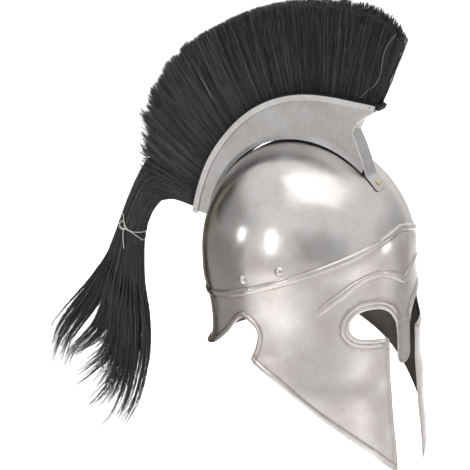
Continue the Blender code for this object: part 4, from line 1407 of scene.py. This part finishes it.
# The string's two turns round the gathered tail and its small bow: angle round the bundle from its inner
# side through the wearer's right, in degrees, and millimetres below the bundle's tied section.
STRING_TURNS = (
    ((82.5, 2.0), (73, 1.4), (61, 0.4), (41.5, -1.4), (15, -2.6), (-20, -2.6), (-55, -1.5),
     (-90, -1.2), (-130, -3.0), (-170, -6.0), (-205, -7.8), (-243.5, -7.2), (-251, -4.6),
     (-260.5, -1.0), (-268, 1.0), (-272.5, 2.0)),
    ((82.5, 2.0), (68, 1.8), (51, 2.6), (31.5, 4.0), (5.5, 6.8), (-30, 6.0), (-70, 4.0),
     (-110, 2.0), (-150, 1.0), (-190, 1.5), (-225, 3.5), (-242, 5.2), (-258, 5.0),
     (-272.5, 2.2)),
)
STRING_BOW = ((87.5, 2.0), (99.5, 5.8), (112.5, 6.4), (118, 3.4), (109.5, -1.8), (98.5, -1.2),
              (95, 1.8), (87.5, 2.0))
STRING_END = ((96, 3.6), (94, 7.0), (91, 12.0), (87.5, 16.5), (81, 22.2))
STRING_CLEARANCE = 0.0011
BUNDLE_SLANT = 0.30
BUNDLE_ROUNDNESS = 0.8


def build_string(finish):
    """Thin string in two turns round the tail with a small bow, knot and loose end."""
    outer, inner, half = tail_sections()[TIE_SECTION + 1]
    middle = (outer + inner) / 2
    reach = np.linalg.norm(inner - outer) / 2
    step = (inner - outer) / (2 * reach)

    def spot(turn, drop, lift):
        angle, drop = math.radians(turn), drop / 1000
        out = STRING_RADIUS + STRING_CLEARANCE + lift
        across = math.copysign(abs(math.cos(angle)) ** BUNDLE_ROUNDNESS, math.cos(angle))
        flat = middle + step * (reach + out) * across
        return place(flat[0] - BUNDLE_SLANT * drop, (half + out) * math.sin(angle), flat[1] + drop)

    parts = []
    runs = list(STRING_TURNS) + [STRING_BOW, STRING_END]
    for index, run in enumerate(runs):
        line = [spot(turn, drop, index * STRING_RADIUS) for turn, drop in smooth_line(run, 8)]
        parts.append(tube(f"string_{index}", line, STRING_RADIUS, 8, finish))
    r = STRING_KNOT_RADIUS
    bead = [(r * math.sin(t), -r * math.cos(t)) for t in np.linspace(0.3, 2.84, 7)]
    seat = spot(85, 2.1, STRING_RADIUS)
    parts.append(turned_head("string_knot", seat, (-1.0, 0.0, 0.0), bead, finish, 12))
    return joined("tail_string", parts)


def joined(name, parts):
    """One mesh object from several."""
    shape = bmesh.new()
    for part in parts:
        shape.from_mesh(part.data)
    data = bpy.data.meshes.new(name)
    shape.to_mesh(data)
    shape.free()
    data.materials.append(parts[0].data.materials[0])
    for part in parts:
        bpy.data.objects.remove(part, do_unlink=True)
    return linked(name, data)


# Materials

# Plain finishes: scale and detail of the clouds, dark and pale colour, roughness, metal, clouds' start.
PLAIN_FINISHES = {
    "inner_steel": (30.0, 5.0, (0.09, 0.075, 0.07), (0.16, 0.145, 0.135), 0.55, 1.0),
    "brass": (400.0, 3.0, (0.74, 0.60, 0.32), (0.86, 0.74, 0.44), 0.25, 1.0),
    "pale_hair": (200.0, 3.0, (0.34, 0.325, 0.31), (0.50, 0.48, 0.46), 0.5),
    # Hair core: near black like the hair and darker than it, as painted shade of the hairs within the plume
    # and tail.
    "shaded_hair_core": (300.0, 3.0, (0.014, 0.013, 0.013), (0.036, 0.033, 0.032), 0.8, 0.0, 0.35),
    "brush_block": (300.0, 3.0, (0.008, 0.008, 0.008), (0.02, 0.02, 0.02), 0.65),
    "white_string": (900.0, 2.0, (0.62, 0.60, 0.56), (0.85, 0.84, 0.81), 0.85),
    "floor": (3.0, 2.0, (0.79, 0.775, 0.76), (0.81, 0.795, 0.78), 0.9),
}

# Satin sheet of the crest box: dark, middle and pale colour. The edging on the rim and strap and the fold on
# the strap's sides are lighter copies of the sheet: painted highlights.
CREST_FINISHES = {
    "crest_sheet": ((0.46, 0.445, 0.44), (0.53, 0.52, 0.515), (0.585, 0.58, 0.585)),
    "crest_fold_highlight": ((0.80, 0.79, 0.785), (0.86, 0.855, 0.85), (0.90, 0.90, 0.895)),
    "crest_edging_highlight": ((0.60, 0.585, 0.58), (0.68, 0.67, 0.665), (0.73, 0.725, 0.72)),
}


class Nodes:
    """Short ways to add nodes to a tree. Each gives the new node's output."""

    def __init__(self, tree):
        self.tree = tree

    def fill(self, node, inputs):
        """Sets a node's inputs, by name or place, to plain values or links them to other nodes' outputs."""
        for name, value in inputs.items():
            if isinstance(value, bpy.types.NodeSocket):
                self.tree.links.new(value, node.inputs[name])
            else:
                node.inputs[name].default_value = value

    def add(self, kind, inputs, output=0, **settings):
        node = self.tree.nodes.new("ShaderNode" + kind)
        for name, value in settings.items():
            setattr(node, name, value)
        self.fill(node, inputs)
        return node.outputs[output]

    def maths(self, operation, first, second):
        return self.add("Math", {0: first, 1: second}, operation=operation)

    def multiplied(self, first, second):
        inputs = {"Factor": 1.0, "A": first, "B": second}
        return self.add("Mix", inputs, "Result", data_type="RGBA", blend_type="MULTIPLY")

    def attribute(self, name):
        return self.add("Attribute", {}, "Fac", attribute_name=name)

    def noise(self, scale, detail=4.0, rough=0.5):
        inputs = {"Vector": self.add("TexCoord", {}, "Object"), "Scale": scale, "Detail": detail}
        return self.add("TexNoise", {**inputs, "Roughness": rough}, "Fac")

    def ramp(self, source, *stops):
        """A colour or grey for each value of a source."""
        colour = self.add("ValToRGB", {"Fac": source}, "Color")
        elements = colour.node.color_ramp.elements
        while len(elements) < len(stops):
            elements.new(0.5)
        for element, (at, shade) in zip(elements, stops):
            element.position = at
            element.color = (*shade, 1.0) if isinstance(shade, tuple) else (shade, shade, shade, 1.0)
        return colour

    def clouds(self, scale, detail, *stops, rough=0.5):
        return self.ramp(self.noise(scale, detail, rough), *stops)


def new_finish(name):
    made = bpy.data.materials.new(name + "_finish")
    made.use_nodes = True
    return made, Nodes(made.node_tree), made.node_tree.nodes["Principled BSDF"]


def plain_finish(name, scale, detail, dark, pale, roughness, metallic=0.0, start=0.3):
    made, nodes, shader = new_finish(name)
    colour = nodes.clouds(scale, detail, (start, dark), (0.7, pale))
    nodes.fill(shader, {"Base Color": colour, "Roughness": roughness, "Metallic": metallic})
    return made


def polished_steel():
    """Mirror-like on the dome, more satin below the ridge, with stains and grime in the creases."""
    made, nodes, shader = new_finish("polished_steel")
    cloud = nodes.clouds(
        22.0, 5.0, (0.30, (0.70, 0.655, 0.635)), (0.50, (0.775, 0.755, 0.745)), (0.70, (0.80, 0.785, 0.775)))
    stain = nodes.clouds(
        34.0, 9.0, (0.30, (0.90, 0.868, 0.85)), (0.50, (0.975, 0.965, 0.96)), (0.66, 1.0), rough=0.72)
    grain = nodes.clouds(700.0, 2.0, (0.35, 0.955), (0.65, 1.0))
    broken = nodes.clouds(240.0, 3.0, (0.25, 0.55), (0.6, 1.0))
    dirt = nodes.maths("MULTIPLY", nodes.attribute("grime"), broken)
    crease = nodes.ramp(dirt, (0.0, 1.0), (0.45, (0.72, 0.67, 0.64)), (1.0, (0.36, 0.31, 0.28)))
    worn = nodes.multiplied(nodes.multiplied(cloud, stain), grain)
    patch = nodes.clouds(38.0, 6.0, (0.3, 0.13), (0.7, 0.24))
    dull = nodes.maths("ADD", patch, nodes.maths("MULTIPLY", nodes.attribute("satin"), 0.09))
    smooth_top = nodes.maths("MULTIPLY", nodes.attribute("rubbed"), -0.10)
    bumps = {"Strength": 0.03, "Distance": 0.001, "Height": nodes.noise(160.0)}
    nodes.fill(shader, {
        "Metallic": 1.0,
        "Base Color": nodes.multiplied(worn, crease),
        "Roughness": nodes.maths("ADD", dull, smooth_top),
        "Normal": nodes.add("Bump", bumps, "Normal"),
    })
    return made


def crest_sheet(name, dark, middle, pale):
    """Satin sheet with cloudy blotches and fine scuffs."""
    made, nodes, shader = new_finish(name)
    blotches = nodes.clouds(32.0, 6.0, (0.34, dark), (0.5, middle), (0.66, pale), rough=0.6)
    scuffs = nodes.clouds(260.0, 3.0, (0.34, 0.94), (0.66, 1.0))
    nodes.fill(shader, {
        "Metallic": 1.0,
        "Base Color": nodes.multiplied(blotches, scuffs),
        "Roughness": nodes.clouds(70.0, 5.0, (0.3, 0.34), (0.7, 0.50)),
    })
    return made


def black_hair():
    """Each hair has its own tone, from near black to a worn grey-brown; the plume's rear hairs are paler as
    painted sheen.
    """
    made, nodes, shader = new_finish("black_hair")
    nodes.fill(shader, {
        "Base Color": nodes.ramp(
            nodes.attribute("tone"), (0.0, (0.020, 0.0192, 0.019)), (0.7, (0.055, 0.0535, 0.053)),
            (0.95, (0.112, 0.108, 0.105)), (1.0, (0.24, 0.225, 0.215))),
        "Roughness": nodes.clouds(120.0, 3.0, (0.3, 0.36), (0.7, 0.55)),
        "Specular IOR Level": 0.45,
    })
    return made


# Surroundings: bands of a soft studio, seen only as reflections. Azimuth from straight ahead towards the
# wearer's left, half width of the band in degrees, brightness added.
STUDIO_BASE = 0.50
STUDIO_BANDS = (
    (-112.0, 30.0, 0.28),
    (-66.0, 22.0, -0.07),
    (-14.0, 30.0, 0.24),
    (103.0, 30.0, 0.42),
    (54.0, 20.0, -0.06),
    (152.0, 38.0, -0.40),
    (-173.0, 34.0, -0.17),
)
BANDS_END = (12.0, 38.0)
STUDIO_MIDDLE = (14.0, 32.0, 0.29)
STUDIO_TOP = (48.0, 64.0, 0.20)

# Soft boxes: direction, distance, width, height and brightness. Pools light the floor in those directions.
SOFT_BOXES = {
    "narrow_box": (-142.0, 6.0, 2.0, 0.07, 0.24, 8.0),
    "wide_box": (-111.5, 8.0, 2.0, 0.23, 0.54, 3.4),
    "front_box": (20.0, -3.0, 2.0, 0.50, 0.36, 1.7),
}
CEILING_PLACE = (-0.84, -0.22, 2.0)
CEILING_SIZE = (1.55, 2.1)
CEILING_TURN = 27.0
CEILING_BRIGHTNESS = 0.62
FLOOR_POOLS = {
    "side_pool": (-108.0, 2.0, 0.7, 3.2, 1.7),
    "front_pool": (-16.0, 2.2, 1.0, 3.2, 1.1),
    "background_pool": (122.5, 2.65, 1.4, 3.4, 2.4),
}
POOL_HEIGHT = 0.6

# Cards on the floor that only reflections see: middle azimuth, half spread, near and far edge, colours.
FLOOR_CARDS = {
    "dark_card": (147.0, 19.0, 0.6, 28.0, (0.07, 0.055, 0.04), (0.12, 0.10, 0.06)),
    "rear_card": (-167.0, 30.0, 0.6, 28.0, (0.27, 0.255, 0.24), (0.35, 0.335, 0.32)),
    "side_card": (54.0, 15.0, 0.9, 7.0, (0.44, 0.42, 0.40), (0.52, 0.50, 0.48)),
}

# Upright screens that only reflections see: azimuth, half spread, distance, lowest and highest elevation,
# colours.
SCREENS = {
    "dark_screen": (150.0, 10.0, 3.2, -8.0, 36.0, (0.06, 0.05, 0.045), (0.11, 0.095, 0.08)),
    "olive_screen": (165.0, 5.5, 3.3, -8.0, 16.0, (0.22, 0.205, 0.13), (0.30, 0.28, 0.19)),
}


def studio_world():
    """Soft bands of light round the horizon under a bright ceiling."""
    world = bpy.data.worlds.new("studio")
    world.use_nodes = True
    bpy.context.scene.world = world
    nodes = Nodes(world.node_tree)
    parts = nodes.add("SeparateXYZ", {0: nodes.add("TexCoord", {}, "Generated")}).node.outputs
    flat = nodes.add("CombineXYZ", {0: parts[0], 1: parts[1]})
    level = nodes.add("VectorMath", {0: flat}, operation="NORMALIZE")

    def smooth_range(source, low, high, at_low, at_high):
        inputs = {"Value": source, "From Min": low, "From Max": high, "To Min": at_low, "To Max": at_high}
        return nodes.add("MapRange", inputs, interpolation_type="SMOOTHSTEP")

    def over_heights(start, end, at_start, at_end):
        return smooth_range(parts[2], direction(0.0, start).z, direction(0.0, end).z, at_start, at_end)

    bands = None
    for azimuth, width, bright in STUDIO_BANDS:
        facing = {0: level, 1: direction(azimuth, 0.0)}
        towards = nodes.add("VectorMath", facing, "Value", operation="DOT_PRODUCT")
        band_light = smooth_range(towards, math.cos(math.radians(width)), 1.0, 0.0, bright)
        bands = band_light if bands is None else nodes.maths("ADD", bands, band_light)
    low_sky = nodes.maths("MULTIPLY", bands, over_heights(*BANDS_END, 1.0, 0.0))
    start, end, bright = STUDIO_MIDDLE
    middle = over_heights(start, end, STUDIO_BASE, STUDIO_BASE + bright)
    start, end, bright = STUDIO_TOP
    ceiling = over_heights(start, end, 0.0, bright)
    sky = nodes.maths("ADD", low_sky, nodes.maths("ADD", middle, ceiling))
    nodes.fill(world.node_tree.nodes["Background"], {"Strength": sky, "Color": (1.0, 1.0, 1.0, 1.0)})


def area_light(name, width, height, radiance, where, turn):
    """A soft box that the camera doesn't see."""
    data = bpy.data.lights.new(name, "AREA")
    data.shape = "RECTANGLE"
    data.size = width
    data.size_y = height
    data.energy = radiance * math.pi * width * height
    made = linked(name, data)
    made.visible_camera = False
    made.location = where
    made.rotation_euler = turn


def direction(azimuth, elevation):
    turn, rise = math.radians(azimuth), math.radians(elevation)
    return Vector((math.sin(turn) * math.cos(rise), -math.cos(turn) * math.cos(rise), math.sin(rise)))


def build_lights():
    """The ceiling, boxes that face the helmet, and pools that face down, so only the lit floor is seen."""
    ceiling = HELMET_MIDDLE + Vector(CEILING_PLACE)
    turn = (0.0, 0.0, math.radians(CEILING_TURN))
    area_light("ceiling_box", *CEILING_SIZE, CEILING_BRIGHTNESS, ceiling, turn)
    for name, (azimuth, elevation, distance, width, height, radiance) in SOFT_BOXES.items():
        towards = direction(azimuth, elevation)
        turn = towards.to_track_quat("Z", "Y").to_euler()
        area_light(name, width, height, radiance, HELMET_MIDDLE + towards * distance, turn)
    for name, (azimuth, distance, width, length, radiance) in FLOOR_POOLS.items():
        where = direction(azimuth, 0.0) * distance + Vector((0.0, 0.0, POOL_HEIGHT - FLOOR_DROP))
        area_light(name, width, length, radiance, where, (0.0, 0.0, math.radians(azimuth)))


# Camera, solved from the photograph
CAMERA_AZIMUTH = -57.5
CAMERA_ELEVATION = 18.2
CAMERA_DISTANCE = 9.0
VIEW_WIDTH = 0.4825
AIM_RIGHT = -0.0775
AIM_UP = -0.0979
SENSOR = 36.0
HELMET_MIDDLE = Vector((0.0, 0.0, -0.12))
FLOOR_DROP = 0.95
FLOOR_SIZE = 60.0
CARD_RISE = 0.03


def build_camera():
    data = bpy.data.cameras.new("photo_camera")
    data.sensor_width = SENSOR
    data.lens = SENSOR * CAMERA_DISTANCE / VIEW_WIDTH
    data.clip_end = 100.0
    made = linked("photo_camera", data)
    back = direction(CAMERA_AZIMUTH, CAMERA_ELEVATION)
    turn = math.radians(CAMERA_AZIMUTH)
    right = Vector((math.cos(turn), math.sin(turn), 0.0))
    up = back.cross(right)
    aim = Vector((0, 0, WALL)) + right * AIM_RIGHT + up * AIM_UP
    facing = Matrix((right, up, back)).transposed().to_4x4()
    made.matrix_world = Matrix.Translation(aim + back * CAMERA_DISTANCE) @ facing
    bpy.context.scene.camera = made


def build_floor(finish):
    half = FLOOR_SIZE / 2
    corners = [(x * half, y * half, -FLOOR_DROP) for x, y in ((-1, -1), (1, -1), (1, 1), (-1, 1))]
    made = mesh_object("floor", corners, [(0, 1, 2, 3)], [finish])


def reflected_card(name, corners, dark, pale):
    """A cloth card that only reflections see."""
    card = mesh_object(name, corners, [(0, 1, 2, 3)], [plain_finish(name, 4.0, 3.0, dark, pale, 0.9)])
    card.visible_camera = False
    card.visible_diffuse = False
    card.visible_shadow = False


def card_corner(azimuth, distance, height):
    return direction(azimuth, 0.0) * distance + Vector((0.0, 0.0, height))


def build_cards():
    """Cards just over the floor and screens behind the helmet darken parts of what the steel reflects."""
    for name, (azimuth, spread, near, far, dark, pale) in FLOOR_CARDS.items():
        reflected_card(name, [
            card_corner(azimuth + side * spread, distance, CARD_RISE - FLOOR_DROP)
            for distance, side in ((near, -1), (near, 1), (far, 1), (far, -1))
        ], dark, pale)
    for name, (azimuth, spread, distance, lowest, highest, dark, pale) in SCREENS.items():
        reflected_card(name, [
            card_corner(
                azimuth + side * spread, distance, HELMET_MIDDLE.z + distance * math.tan(math.radians(rise)))
            for rise, side in ((lowest, -1), (lowest, 1), (highest, 1), (highest, -1))
        ], dark, pale)


def dress(piece, slot_name, *nodes):
    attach(piece, "root")
    if nodes:
        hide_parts(*nodes)


def dress_metal(finish, steel):
    """The steel shell with its rivets, and the crest box with its nails and screw."""
    # The rim and the strap take the lighter edging, the strap's sides the palest fold finish: painted
    # highlights on the crest sheet.
    sheet, edging = finish["crest_sheet"], finish["crest_edging_highlight"]
    dress(build_shell(steel, finish["inner_steel"]), "polished_steel", "helmet_shell")
    pins = {
        "front": front_angle(1.0) + PIN_FRONT_INSET_ANGLE,
        "rear": CREST_REAR_ANGLE - PIN_REAR_INSET_ANGLE,
    }
    for side_name, side in (("right", 1), ("left", -1)):
        for end, angle in RIVET_ANGLES.items():
            rivet = build_rivet(f"rivet_head_{end}_{side_name}", angle, side, steel)
            dress(rivet, "polished_steel", f"rivet_{end}_{side_name}")
        plate = build_plate(f"crest_sheet_{side_name}", side, sheet)
        dress(plate, "crest_sheet", f"crest_plate_{side_name}")
        for end, angle in pins.items():
            pin = build_pin(f"nail_head_{end}_{side_name}", angle, side, sheet)
            dress(pin, "crest_sheet", f"crest_pin_{end}_{side_name}")
    dress(build_channel(edging), "crest_sheet", "crest_channel")
    dress(build_strap(edging, finish["crest_fold_highlight"]), "crest_sheet", "crest_strap")
    dress(build_screw(finish["brass"]), "brass", "strap_screw")


def dress_hair(finish, hair):
    """The plume, the tail and the string round it, with one run of random numbers for all hairs."""
    random = np.random.default_rng(7)
    for name, side in PLUME_PIECES.items():
        dress(build_plume_hairs(name, side, hair, random), "black_hair", "plume")
    dress(build_plume_core(finish["shaded_hair_core"]), "black_hair", "plume")
    dress(build_stray_hairs(finish["pale_hair"]), "black_hair", "plume")
    for name, side in TAIL_PIECES.items():
        dress(build_tail_hairs(name, side, hair, random), "black_hair", "plume_tail")
    dress(build_tail_core(finish["shaded_hair_core"]), "black_hair", "plume_tail")
    dress(build_string(finish["white_string"]), "white_string", "tail_tie")


def main():
    finish = {name: plain_finish(name, *values) for name, values in PLAIN_FINISHES.items()}
    finish.update((name, crest_sheet(name, *colours)) for name, colours in CREST_FINISHES.items())
    dress_metal(finish, polished_steel())
    dress_hair(finish, black_hair())
    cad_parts["brush_block"].material_slots[0].material = finish["brush_block"]
    build_floor(finish["floor"])
    build_cards()
    build_lights()
    studio_world()
    build_camera()
    bpy.context.scene.view_settings.view_transform = "Standard"


main()
